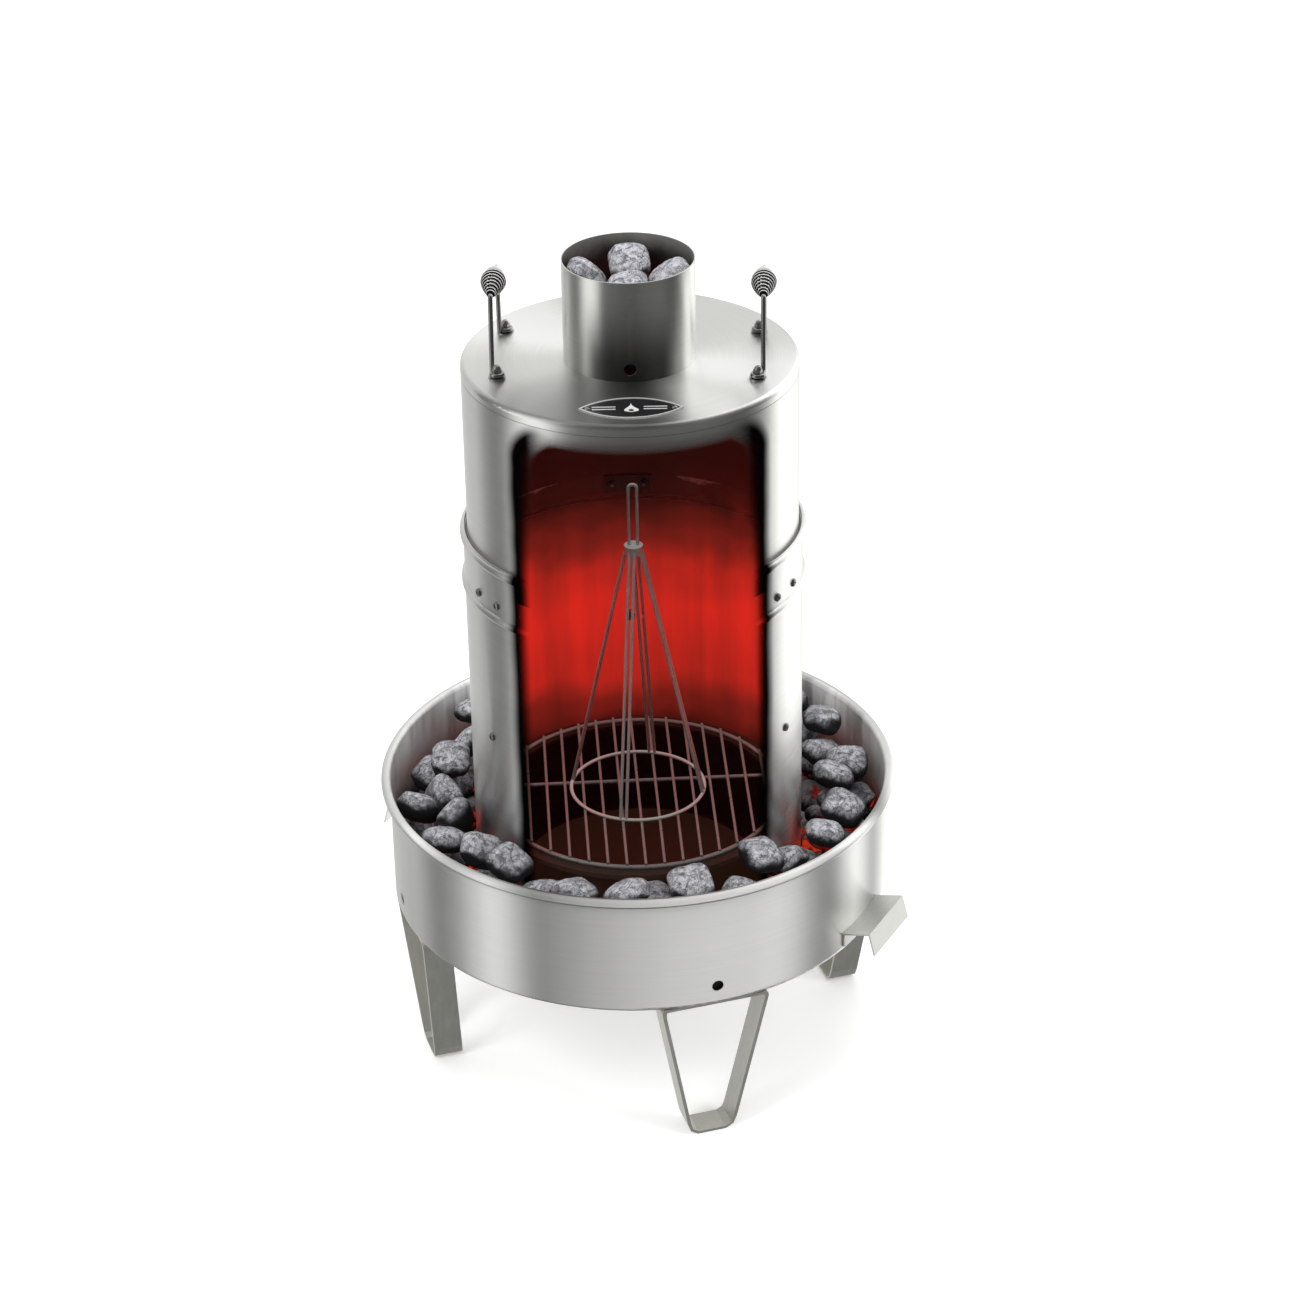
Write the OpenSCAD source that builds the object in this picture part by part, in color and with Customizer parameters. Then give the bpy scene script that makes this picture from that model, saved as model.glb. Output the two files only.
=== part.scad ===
// Charcoal-fired convection cooker: a legged fire pan with a closed cooking
// chamber standing in it, a lift-off lid with a charcoal cup on top, and a
// lift-out drip pan, grate and poultry stand inside.  Millimetres, +Z up,
// origin on the floor under the chamber's axis, -Y is the front.
// Name endings: _r radius, _z height above the floor, _h height of a part,
// _w width, _t thickness, _a direction in degrees about Z.

/* [Fire pan] */
// Outer radius of the fire pan's wall
pan_r = 258; // [240:1:270]
// Height of the pan's underside above the floor
pan_z = 170; // [150:1:190]
// Height of the pan from its underside to the centre of its rolled rim
pan_h = 131; // [115:1:145]
// Radius of the rolled rim
rim_r = 5; // [3.5:0.1:6]
// Sheet thickness of the pan, chamber and lid
sheet = 1.2; // [1:0.1:1.5]
// Radius of the air vents in the pan and in the charcoal cup
vent_r = 6; // [4:0.5:8]
// Direction of the front leg and the first air vent
leg_a = -73; // [-90:1:-60]

/* [Legs] */
// Width of the strap that the legs are bent from
strap_w = 30; // [24:1:36]
// Thickness of the strap
strap_t = 3; // [2:0.5:4]
// Width of a leg where it meets the pan
leg_top_w = 116; // [100:1:130]
// Width of the flat foot of a leg
leg_foot_w = 30; // [24:1:40]
// How far a leg leans inwards from the pan to the floor
leg_lean = 15; // [0:1:20]

/* [Cooking chamber] */
// Outer radius of the chamber
chamber_r = 170.5; // [165:0.5:175]
// Height of the chamber's top edge above the floor
chamber_top = 592; // [560:1:620]
// Direction of the first lid rest and rack peg, which repeat every third of a turn
rest_a = -28.5; // [-40:0.5:-20]
// Height of the screws that hold the lid rests
rest_screw_z = 549; // [545:1:552]
// Height of the screws that hold the rack pegs
peg_z = 393; // [360:1:430]

/* [Lid] */
// Outer radius of the lid
lid_r = 166.2; // [165:0.1:166.4]
// Height of the lid's flat top above the floor
lid_top = 769.5; // [750:0.5:790]
// Outer radius of the charcoal cup
cup_r = 65.1; // [60:0.1:70]
// Height of the charcoal cup
cup_h = 102; // [90:1:120]

/* [Handles] */
// Distance from the lid's axis to a handle's wire
handle_x = 131; // [125:0.5:135]
// Turn of both handles about the lid's axis
handle_a = -3; // [-10:0.5:10]
// Half the distance between a handle's two bolts
handle_y = 55; // [50:1:58]
// Height of the grip above the lid
handle_h = 77; // [65:1:90]
// Radius of the handle wire
wire_r = 2.4; // [2:0.1:3]
// Radius of the wire that the coil grip is wound from
coil_r = 1.1; // [0.9:0.05:1.3]
// Half the length of the coil grip
coil_half = 34; // [30:1:36]
// Number of turns in the coil grip
coil_turns = 14; // [10:1:15]

/* [Inside] */
// Radius of the grate's ring, to the wire's centre
grate_r = 149; // [146:0.5:152]
// Height of the grate's ring above the floor
grate_z = 272; // [262:1:274]
// Distance between the grate's rods
rod_pitch = 19; // [17:0.5:20]
// Radius of the poultry stand's ring
stand_r = 69.5; // [60:0.5:82]
// Height of the poultry stand's tip above the floor
stand_top = 630; // [560:1:632]

/* [Charcoal] */
// Number of briquettes on the pan's ember bed
pan_coals = 90; // [50:1:95]
// Number of briquettes in the cup
cup_coals = 10; // [4:1:10]
// Which of the many possible heaps is built
heap = 11; // [1:1:40]

/* [Hidden] */
$fn = 64;

// Sizes shared between sections
pan_in = pan_r - sheet;                 // inside of the pan's wall
pan_floor = pan_z + sheet;              // top of the pan's floor
rim_z = pan_z + pan_h;                  // centre of the rolled rim
chamber_in = chamber_r - sheet;
chamber_floor = pan_floor + sheet;      // top of the chamber's floor
shelf_z = rest_screw_z + 11.5;          // the lid's lower edge stands here
bolt_r = 3;                             // chamber bolts
bolt_ring = 150;                        // their distance from the axis
screw_r = 2;
hole_gap = 0.2;                         // clearance of a hole round its bolt

STEEL = [0.76, 0.76, 0.74];
WIRE = [0.6, 0.6, 0.59];
COIL = [0.8, 0.8, 0.79];
DARK = [0.12, 0.12, 0.12];
EMBLEM = [0.85, 0.85, 0.83];
DRIP_GREY = [0.35, 0.35, 0.36];
ASH = [0.5, 0.5, 0.53];
EMBER = [0.75, 0.16, 0.08];

// ---------- helpers ----------
function unit(v) = v / norm(v);
function reversed(list) = [for (i = [len(list) - 1:-1:0]) list[i]];

// a polyline with its corners rounded to a radius in n steps
function rounded(path, radius, n) = concat([path[0]],
    [for (i = [1:1:len(path) - 2])
        let (back = unit(path[i - 1] - path[i]),
             ahead = unit(path[i + 1] - path[i]),
             half = acos(max(-1, min(1, back * ahead))) / 2,
             setback = radius / tan(half),
             centre = path[i] + unit(back + ahead) * radius / sin(half),
             from = unit(path[i] + back * setback - centre),
             to = unit(path[i] + ahead * setback - centre),
             sweep = acos(max(-1, min(1, from * to))),
             side = unit(to - from * (from * to)))
        for (k = [0:1:n])
            centre + radius * (from * cos(sweep * k / n) + side * sin(sweep * k / n))],
    [path[len(path) - 1]]);

// frames carried along a path without twist: two cross directions a point
function carry(path, i, start) = i >= len(path) ? [] :
    let (along = unit(path[min(i + 1, len(path) - 1)] - path[max(i - 1, 0)]),
         across = unit(start - along * (start * along)))
    concat([[across, cross(along, across)]], carry(path, i + 1, across));

// faces that join rings of points into a closed tube
function tube_faces(rings, sides) = concat(
    [[for (k = [0:1:sides - 1]) sides - 1 - k]],
    [[for (k = [0:1:sides - 1]) (rings - 1) * sides + k]],
    [for (i = [0:1:rings - 2]) for (k = [0:1:sides - 1])
        let (m = (k + 1) % sides, here = i * sides, next = (i + 1) * sides)
        each [[here + k, here + m, next + m], [here + k, next + m, next + k]]]);

// a round wire swept along a path
module wire(path, radius, sides, start) {
    frames = carry(path, 0, start);
    points = [for (i = [0:1:len(path) - 1]) for (k = [0:1:sides - 1])
        let (turn = 360 * k / sides)
        path[i] + radius * (frames[i][0] * cos(turn) + frames[i][1] * sin(turn))];
    polyhedron(points, tube_faces(len(path), sides));
}
module rod(start, end, radius) {
    span = end - start;
    translate(start) rotate([0, acos(span[2] / norm(span)), atan2(span[1], span[0])])
        cylinder(h = norm(span), r = radius);
}
module ring(radius, wire_radius, z) {
    translate([0, 0, z]) rotate_extrude() translate([radius, 0]) circle(wire_radius);
}
// stands children on a vertical wall, their Z pointing outwards
module radial(angle, radius, z) {
    rotate([0, 0, angle]) translate([radius, 0, z]) rotate([0, 90, 0]) children();
}
module at_z(z) {
    translate([0, 0, z]) children();
}
module tube(outer, inner, h) {
    difference() {
        cylinder(h = h, r = outer);
        at_z(-1) cylinder(h = h + 2, r = inner);
    }
}
// curved plate reaching half_angle to each side of +X
module sector(inner, outer, z0, z1, half_angle) {
    rotate([0, 0, -half_angle]) rotate_extrude(angle = 2 * half_angle)
        translate([inner, z0]) square([outer - inner, z1 - z0]);
}
module hex(radius, h) {
    cylinder(h = h, r = radius, $fn = 6);
}
// domed head standing on z = 0
module dome(radius, h) {
    sphere_r = (radius * radius + h * h) / (2 * h);
    intersection() {
        at_z(h - sphere_r) sphere(sphere_r);
        cylinder(h = h + 1, r = radius);
    }
}
// head, shank and downward tail, each [z, radius, height]
module rivet(head, shank, tail) {
    at_z(head[0]) dome(head[1], head[2]);
    at_z(shank[0]) cylinder(h = shank[2], r = shank[1]);
    at_z(tail[0]) mirror([0, 0, 1]) dome(tail[1], tail[2]);
}
// hole punched outwards through a vertical wall
module wall_hole(angle, start_r, z, radius, depth) {
    radial(angle, start_r, z) cylinder(h = depth, r = radius);
}
// quarter of a bent sheet in a profile; the signs choose the quadrant
module bend(centre, outer, sign_x, sign_y) {
    translate(centre) intersection() {
        difference() {
            circle(outer);
            circle(outer - sheet);
        }
        translate([sign_x < 0 ? -outer - 1 : 0, sign_y < 0 ? -outer - 1 : 0])
            square([outer + 1, outer + 1]);
    }
}

// ---------- fire pan ----------
pan_bend_r = 5;
vent_z = pan_z + 22.7;
leg_rivet_r = 2.4;
rim_cut = 9;                            // reach of the cut that opens the rolled rim
pan_handle_z = pan_z + 15;              // height of the handle rivets
pan_rivet_turn = 5;                     // rivets stand this far to each side of a handle

// a circle with its inner side cut open, where it meets the wall
module rolled_rim() {
    translate([pan_in + rim_r, rim_z]) difference() {
        circle(rim_r);
        circle(rim_r - sheet);
        polygon([
            [0, 0],
            [-rim_cut * cos(12), -rim_cut * sin(12)],
            [-rim_cut * cos(36), -12 * sin(36)],
            [-rim_cut * cos(64), -rim_cut * sin(64)]]);
    }
}
module at_chamber_bolts() {
    for (k = [0:3]) rotate([0, 0, 45 + 90 * k]) translate([bolt_ring, 0, 0]) children();
}
module at_pan_handle_rivets(radius) {
    for (angle = [rest_a, rest_a + 180]) for (turn = [-pan_rivet_turn, pan_rivet_turn])
        radial(angle + turn, radius, pan_handle_z) children();
}
module fire_pan() color(STEEL) difference() {
    rotate_extrude($fn = 128) {
        translate([0, pan_z]) square([pan_r - pan_bend_r, sheet]);
        bend([pan_r - pan_bend_r, pan_z + pan_bend_r], pan_bend_r, 1, -1);
        translate([pan_in, pan_z + pan_bend_r]) square([sheet, pan_h - pan_bend_r]);
        rolled_rim();
    }
    for (k = [0:3]) {
        wall_hole(leg_a + 90 * k, pan_r - 10, vent_z, vent_r, 20);
        at_leg_rivets(k) at_z(pan_z - 1) cylinder(h = 4, r = leg_rivet_r);
    }
    at_chamber_bolts() at_z(pan_z - 1) cylinder(h = 4, r = bolt_r + hole_gap);
    at_pan_handle_rivets(pan_r - 10) cylinder(h = 20, r = screw_r);
}

// ---------- legs ----------
leg_r = pan_r - 21;                     // middle of the strap at the pan
leg_h = pan_z - 0.02;                   // ends just short of the pan
leg_rivet_inset = 22;                   // from a leg's side to its rivet

module at_leg_rivets(k) {
    rotate([0, 0, leg_a + 90 * k]) for (side = [-1, 1])
        translate([leg_r, side * (leg_top_w / 2 - leg_rivet_inset), 0]) children();
}
// a closed strap loop: wide at the pan, narrow at the foot, leaning inwards
module strap_leg(angle) {
    top = leg_top_w / 2;
    foot = leg_foot_w / 2;
    // one half of the loop from foot to pan: distance from its middle, height
    outer_half = [
        [foot, 0], [foot + 8, 5], [foot + 11.5, 15],
        [top - 2, leg_h - 6], [top - 2, leg_h - 2.5], [top - 4, leg_h]];
    inner_half = [
        [foot - 0.5, strap_t], [foot + 5.5, 7], [foot + 8.2, 16],
        [top - 6.4, leg_h - 9], [top - 6.6, leg_h - strap_t - 0.6], [top - 8, leg_h - strap_t]];
    function mirrored(half) = concat(half, [for (p = reversed(half)) [-p[0], p[1]]]);
    // the loop's points on one edge of the strap
    function edge(loop, side) = [for (p = loop)
        [leg_r - leg_lean * (1 - p[1] / leg_h) + side * strap_w / 2, p[0], p[1]]];
    outer = mirrored(outer_half);
    inner = mirrored(inner_half);
    n = len(outer);
    points = concat(edge(outer, 1), edge(inner, 1), edge(outer, -1), edge(inner, -1));
    // two triangles for each side of the strap: outward, inward, outside, inside the loop
    rotate([0, 0, angle]) polyhedron(points, [for (i = [0:n - 1]) let (j = (i + 1) % n)
        each [
            [i, n + j, n + i], [i, j, n + j],
            [2 * n + i, 3 * n + i, 3 * n + j], [2 * n + i, 3 * n + j, 2 * n + j],
            [i, 2 * n + i, 2 * n + j], [i, 2 * n + j, j],
            [n + i, n + j, 3 * n + j], [n + i, 3 * n + j, 3 * n + i]]]);
}
module leg(k) color(STEEL) difference() {
    strap_leg(leg_a + 90 * k);
    at_leg_rivets(k) at_z(pan_z - 8) cylinder(h = 12, r = leg_rivet_r);
}
module leg_rivets() color(WIRE) {
    tail_z = pan_z - strap_t - 0.03;
    for (k = [0:3]) at_leg_rivets(k) rivet(
        head = [pan_floor, 4.5, 2.2],
        shank = [tail_z, leg_rivet_r, strap_t + sheet + 0.5],
        tail = [tail_z, 4.5, 2.2]);
}

// ---------- pan handles ----------
pan_handle_w = 82;
pan_plate_t = 1.8;                      // curved plate against the pan's wall
// bent sheet in section: outwards from the pan's wall, upwards from its underside
pan_handle_profile = [
    [-5, 22.6], [3, 24.2], [27.6, 30.6], [34.2, 6.8],
    [32.4, 6.3], [26.4, 28.4], [3, 22.4], [-5, 20.8]];

module pan_handle(angle) color(STEEL) rotate([0, 0, angle]) difference() {
    union() {
        translate([0, pan_handle_w / 2, 0]) rotate([90, 0, 0])
            linear_extrude(height = pan_handle_w)
            polygon([for (p = pan_handle_profile) [pan_r + p[0], pan_z + p[1]]]);
        sector(pan_r - 3, pan_r + pan_plate_t, pan_z + 6, pan_z + 22.6, 8.6);
    }
    at_z(pan_z - 5) cylinder(h = 60, r = pan_r, $fn = 128);
    for (turn = [-pan_rivet_turn, pan_rivet_turn])
        wall_hole(turn, pan_r - 10, pan_handle_z, screw_r, 20);
}
module pan_handle_rivets() color(WIRE) at_pan_handle_rivets(0) rivet(
    head = [pan_r + pan_plate_t, 3.8, 1.8],
    shank = [pan_in - 1, screw_r, 4.4],
    tail = [pan_in - 0.06, 3.6, 1.5]);

// ---------- cooking chamber ----------
chamber_bend_r = 4;
rib_z = chamber_top - 58.4;             // swaged rib under the lid rests
hem_z = chamber_top - 5.7;              // swaged rib at the chamber's mouth
rib_out = 3.2;                          // how far a rib stands out
rib_arc = 4.76;                         // outer radius of a rib's curve
rib_half = 3.6;                         // the straight wall stops this far from a rib's middle
rest_screw_turn = 5.9;                  // screws stand this far to each side of a lid rest
washer_r = 8;
washer_t = 1.2;
nut_h = 5;
chamber_hex_r = 5.5;                    // bolt heads and nuts, across corners / 2

// swaged rib in a profile
module rib(z) {
    translate([chamber_r + rib_out - rib_arc, z]) intersection() {
        difference() {
            circle(rib_arc);
            circle(rib_arc - sheet);
        }
        translate([rib_arc - rib_out - sheet, -6]) square([10, 12]);
    }
}
// straight piece of the chamber's wall in a profile
module chamber_wall(z0, z1) {
    translate([chamber_in, z0]) square([sheet, z1 - z0]);
}
module at_rest_screws(radius) {
    for (k = [0:2]) for (turn = [-rest_screw_turn, rest_screw_turn])
        radial(rest_a + 120 * k + turn, radius, rest_screw_z) children();
}
module at_pegs(radius) {
    for (k = [0:2]) radial(rest_a + 120 * k, radius, peg_z) children();
}
module chamber_shell() color(STEEL) difference() {
    rotate_extrude($fn = 128) {
        translate([0, pan_floor]) square([chamber_r - chamber_bend_r, sheet]);
        bend([chamber_r - chamber_bend_r, pan_floor + chamber_bend_r], chamber_bend_r, 1, -1);
        chamber_wall(pan_floor + chamber_bend_r, rib_z - rib_half);
        rib(rib_z);
        chamber_wall(rib_z + rib_half, hem_z - rib_half);
        rib(hem_z);
        chamber_wall(hem_z + rib_half, chamber_top);
    }
    at_chamber_bolts() at_z(pan_z) cylinder(h = 4, r = bolt_r + hole_gap);
    at_rest_screws(chamber_in - 5) cylinder(h = 12, r = screw_r);
    at_pegs(chamber_in - 5) cylinder(h = 12, r = screw_r);
}
module chamber_bolts() color(WIRE) at_chamber_bolts() {
    at_z(chamber_floor + washer_t) hex(chamber_hex_r, 4);
    at_z(pan_z - 11) cylinder(h = chamber_floor + 1.5 - pan_z + 11, r = bolt_r);
}
module chamber_washers() color(WIRE) at_chamber_bolts()
    for (z = [chamber_floor, pan_z - washer_t]) at_z(z) tube(washer_r, bolt_r + hole_gap, washer_t);
module chamber_nuts() color(WIRE) at_chamber_bolts() at_z(pan_z - washer_t - nut_h)
    difference() {
        hex(chamber_hex_r, nut_h);
        at_z(-1) cylinder(h = 7, r = bolt_r);
    }

// ---------- lid rests and rack pegs ----------
rest_t = 1.5;
rest_half_a = 8.6;                      // half the angle a lid rest spans

// a curved plate on the chamber's wall with a shelf along its top
module lid_rest(k) color(STEEL) rotate([0, 0, rest_a + 120 * k]) difference() {
    union() {
        sector(chamber_in - rest_t, chamber_in, rest_screw_z - 11, shelf_z, rest_half_a);
        sector(chamber_in - 7, chamber_in, shelf_z - rest_t, shelf_z, rest_half_a);
    }
    for (turn = [-rest_screw_turn, rest_screw_turn])
        wall_hole(turn, chamber_in - 8, rest_screw_z, screw_r, 12);
}
// screw through the chamber's wall, its head outside
module wall_screw() {
    at_z(chamber_r) dome(4.3, 2.8);
    at_z(chamber_in - 7) cylinder(h = 8.6, r = screw_r);
}
module lid_rest_screws() color(WIRE) at_rest_screws(0) wall_screw();
module lid_rest_nuts() color(WIRE) at_rest_screws(chamber_in - 4.8) difference() {
    hex(4, 3.2);
    at_z(-1) cylinder(h = 6, r = screw_r);
}
module rack_peg(k) color(WIRE) radial(rest_a + 120 * k, chamber_in - 7, peg_z) difference() {
    cylinder(h = 6.85, r = 5);
    at_z(-1) cylinder(h = 10, r = screw_r);
}
module rack_peg_screws() color(WIRE) at_pegs(0) wall_screw();

// ---------- charcoal ----------
briquette_size = [45, 41, 27];
pillow_r = 36.5;                        // spheres that round a briquette's two faces
bed_top = pan_z + 52;
cup_bed_top = lid_top + 10;
trough_in = chamber_r + 1.5;            // briquettes lie between these radii
trough_out = pan_in - 1;
coal_gap = 0.3;                         // least gap between stand-in balls
near_reach = 62;                        // briquettes further apart cannot touch
edge_reach = 17;                        // least distance of a drop from the trough's sides

// a pillow: a block cut by two large spheres
module briquette() {
    offset_z = pillow_r - briquette_size[2] / 2;
    intersection() {
        cube([briquette_size[0], briquette_size[1], 60], center = true);
        at_z(offset_z) sphere(pillow_r);
        at_z(-offset_z) sphere(pillow_r);
    }
}
// Stand-in balls for finding where a briquette comes to rest: [x, y, z, radius].
BALLS = [for (x = [-1, 0, 1]) for (y = [-1, 0, 1])
    [x * 13.4, y * 11.5, 0, x == 0 && y == 0 ? 13.6 : (x == 0 || y == 0 ? 11.9 : 9.6)]];

// repeatable random number from 0 to 1
function hash(n) = let (s = sin(n * 127.1 + heap * 311.7) * 43758.5453) s - floor(s);
// rows of the turn matrix for angles about x, y and z
function turn_matrix(ax, ay, az) = [
    [cos(ay) * cos(az), sin(ax) * sin(ay) * cos(az) - cos(ax) * sin(az),
        cos(ax) * sin(ay) * cos(az) + sin(ax) * sin(az)],
    [cos(ay) * sin(az), sin(ax) * sin(ay) * sin(az) + cos(ax) * cos(az),
        cos(ax) * sin(ay) * sin(az) - sin(ax) * cos(az)],
    [-sin(ay), sin(ax) * cos(ay), cos(ax) * cos(ay)]];
function turned_balls(matrix) = [for (ball = BALLS)
    let (p = matrix * [ball[0], ball[1], ball[2]]) [p[0], p[1], p[2], ball[3]]];

// A briquette at rest is [place, turn matrix, balls].
// is a briquette at a place clear of the ones near it?
function clear_at(place, balls, near) = len([
    for (other = near) for (ball = balls) for (hit = other[2])
    if (norm([place[0] + ball[0] - other[0][0] - hit[0],
              place[1] + ball[1] - other[0][1] - hit[1],
              place[2] + ball[2] - other[0][2] - hit[2]]) < ball[3] + hit[3] + coal_gap) 1]) == 0;
function fits_trough(x, y, balls) = min([for (ball = balls)
    let (reach = norm([x + ball[0], y + ball[1]]))
    min(reach - ball[3] - trough_in, trough_out - reach - ball[3])]) > 0;
// how far the balls reach below a briquette's centre
function depth_of(balls) = max([for (ball = balls) ball[3] - ball[2]]);
// lowest resting place from z up, in steps
function settle(x, y, z, top, balls, near) = z > top ? undef :
    clear_at([x, y, z], balls, near) ? z : settle(x, y, z + 3, top, balls, near);
// the laid briquettes and, if there is room below top, one more at x, y
function lay(laid, x, y, matrix, top) =
    let (balls = turned_balls(matrix),
         depth = depth_of(balls),
         fits = fits_trough(x, y, balls),
         near = fits ? [for (other = laid)
             if (norm([other[0][0] - x, other[0][1] - y]) < near_reach) other] : [],
         z = fits ? settle(x, y, bed_top + depth + coal_gap, top - depth, balls, near) : undef)
    z == undef ? laid : concat(laid, [[[x, y, z], matrix, balls]]);
// a row of n briquettes laid round the trough, each settled on those before it
function lay_row(laid, i, n, radius, start_a) = i >= n ? laid :
    let (seed = i * 5 + radius,
         angle = start_a + 360 * (i + 0.22 * (hash(seed) - 0.5)) / n,
         r = radius + 5 * (hash(seed + 1) - 0.5),
         matrix = turn_matrix(26 * (hash(seed + 2) - 0.5), 26 * (hash(seed + 3) - 0.5),
             angle + 24 * (hash(seed + 4) - 0.5) + (i % 2) * 90))
    lay_row(lay(laid, r * cos(angle), r * sin(angle), matrix, rim_z),
        i + 1, n, radius, start_a);
// briquettes dropped at random on those before them, until n lie in the trough
function drop(laid, i, n, tries) = len(laid) >= n || i >= tries ? laid :
    let (seed = i * 7,
         angle = 360 * hash(seed + 1),
         r = trough_in + edge_reach
             + (trough_out - trough_in - 2 * edge_reach) * hash(seed + 2),
         flat = hash(seed + 3) < 0.62,
         matrix = turn_matrix(flat ? 56 * (hash(seed + 4) - 0.5) : 90 * hash(seed + 4),
             50 * (hash(seed + 5) - 0.5), 360 * hash(seed + 6)))
    drop(lay(laid, r * cos(angle), r * sin(angle), matrix, rim_z + 7), i + 1, n, tries);

module pan_briquettes() color(ASH) {
    inner_row = lay_row([], 0, 25, 194.5, 0);
    both_rows = lay_row(inner_row, 0, 31, 233, 7);
    for (coal = drop(both_rows, 0, pan_coals, 1500)) let (place = coal[0], m = coal[1])
        multmatrix([
            [m[0][0], m[0][1], m[0][2], place[0]],
            [m[1][0], m[1][1], m[1][2], place[1]],
            [m[2][0], m[2][1], m[2][2], place[2]],
            [0, 0, 0, 1]])
            briquette();
}
module pan_ember_bed() color(EMBER)
    at_z(pan_floor + 3) tube(pan_in - 3, trough_in, bed_top - pan_floor - 3);

// The cup's briquettes: angle, distance from the axis, height above the bed,
// lean inwards, spin, roll.
CUP = [
    [30, 36.6, 13.7, 0, 0, 0], [150, 36.6, 13.7, 0, 8, 0], [270, 36.6, 13.7, 0, -6, 0],
    [90, 36.2, 41.3, 0, 5, 0], [210, 36.2, 41.3, 0, -8, 0], [330, 36.2, 41.3, 0, 6, 0],
    [88, 39.5, 70.5, 24, 6, 4], [183, 40.5, 72.5, 40, -10, -6],
    [358, 40, 71, 34, 8, 5], [266, 26, 71.5, -4, 2, 12]];

module cup_briquettes() color(ASH)
    for (i = [0:1:min(cup_coals, len(CUP)) - 1]) let (coal = CUP[i])
        rotate([0, 0, coal[0]]) translate([coal[1], 0, cup_bed_top + coal[2]])
        rotate([0, -coal[3], 0]) rotate([coal[5], 0, 0]) rotate([0, 0, coal[4]])
        briquette();
module cup_ember_bed() color(EMBER) {
    bottom = lid_top + sheet + 0.3;
    at_z(bottom) cylinder(h = cup_bed_top - bottom, r = cup_r - sheet - 0.8);
}

// ---------- lid ----------
lid_in = lid_r - sheet;
cap_bend_r = 5.5;                       // rounded edge of the lid's cap
seam_z = lid_top - 11;                  // lower edge of the cap
band_z = seam_z - 9;                    // band inside the seam
lid_bolt_r = 2.5;
lid_bolt_hole_r = 2.6;
plate_rivet_r = 1.5;

module lid_wall() color(STEEL) rotate_extrude($fn = 128) {
    translate([lid_in, shelf_z]) square([sheet, seam_z - 0.6 - shelf_z]);
    translate([lid_in - sheet, band_z]) square([sheet, 14]);
    // the band's lowest part runs into the wall and joins the two
    translate([lid_in - sheet, band_z]) square([sheet + 0.4, 3]);
}
module lid_cap() color(STEEL) difference() {
    rotate_extrude($fn = 128) {
        translate([0, lid_top - sheet]) square([lid_r - cap_bend_r, sheet]);
        bend([lid_r - cap_bend_r, lid_top - cap_bend_r], cap_bend_r, 1, 1);
        translate([lid_in, seam_z]) square([sheet, lid_top - cap_bend_r - seam_z]);
    }
    at_handle_bolts() at_z(lid_top - 3) cylinder(h = 6, r = lid_bolt_hole_r);
    at_plate_rivets() at_z(lid_top - 3) cylinder(h = 6, r = plate_rivet_r);
}
// a wall with a flange turned inwards on the lid
module charcoal_cup() color(STEEL) difference() {
    rotate_extrude($fn = 128) {
        translate([cup_r - sheet, lid_top]) square([sheet, cup_h]);
        translate([cup_r - 11, lid_top]) square([11, sheet]);
    }
    for (k = [0:3]) wall_hole(-90 + 90 * k, cup_r - 10, lid_top + 12.6, vent_r, 20);
}

// ---------- lid handles ----------
foot_z = lid_top + sheet + wire_r;      // centre of the handle's eyes
grip_z = lid_top + handle_h;
eye_r = 5.2;                            // eye round a bolt, to the wire's centre
bolt_x = handle_x - eye_r;
lid_hex_h = 3.4;                        // straight part of the domed nuts

module at_handle_bolts() {
    rotate([0, 0, handle_a]) for (side = [-1, 1]) for (end = [-1, 1])
        translate([side * bolt_x, end * handle_y, 0]) children();
}
// one wire from eye to eye; side is 1 on the right, -1 on the left
module handle_wire(side) {
    eye = [for (a = [-290:18:-20])
        [bolt_x + eye_r * cos(a), -handle_y + eye_r * sin(a), foot_z]];
    rise = rounded([
        [handle_x, -handle_y - 1.7, foot_z],
        [handle_x, -handle_y + 7.5, foot_z],
        [handle_x, -coil_half - 5, grip_z],
        [handle_x, 0, grip_z]], 3.2, 5);
    front = concat(eye, [for (i = [1:1:len(rise) - 2]) rise[i]]);
    rear = [for (p = reversed(front)) [p[0], -p[1], p[2]]];
    path = [for (p = concat(front, rear)) [side * p[0], p[1], p[2]]];
    color(WIRE) rotate([0, 0, handle_a]) wire(path, wire_r, sides = 12, start = [0, 0, 1]);
}
// a barrel-shaped coil wound loosely on the handle wire
module coil_grip(side) {
    steps = 20;                         // points in one turn
    n = coil_turns * steps;
    sides = 6;
    end_r = wire_r + coil_r + 0.08;
    middle_r = 11.6;
    function barrel_r(u) = end_r + (middle_r - end_r)
        * (1 - pow(abs(2 * max(0, min(1, (u - 0.05) / 0.9)) - 1), 1.35));
    points = [for (i = [0:1:n])
        let (u = i / n,
             out = [cos(360 * i / steps), 0, sin(360 * i / steps)],
             y = -coil_half + coil_r + (2 * coil_half - 2 * coil_r) * u,
             centre = [side * handle_x, y, grip_z] + barrel_r(u) * out)
        for (k = [0:1:sides - 1])
            centre + coil_r * (out * cos(360 * k / sides) + [0, 1, 0] * sin(360 * k / sides))];
    // the rings run the other way round than a wire's, so the faces are turned over
    color(COIL) rotate([0, 0, handle_a])
        polyhedron(points, [for (face = tube_faces(n + 1, sides)) reversed(face)]);
}
module handle_bolts() color(WIRE) at_handle_bolts() {
    at_z(lid_top - sheet - 4.83) hex(4.6, 3.6);
    at_z(lid_top - sheet - 2) cylinder(h = sheet * 2 + 2 + 2 * wire_r + 3.6, r = lid_bolt_r);
}
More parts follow.
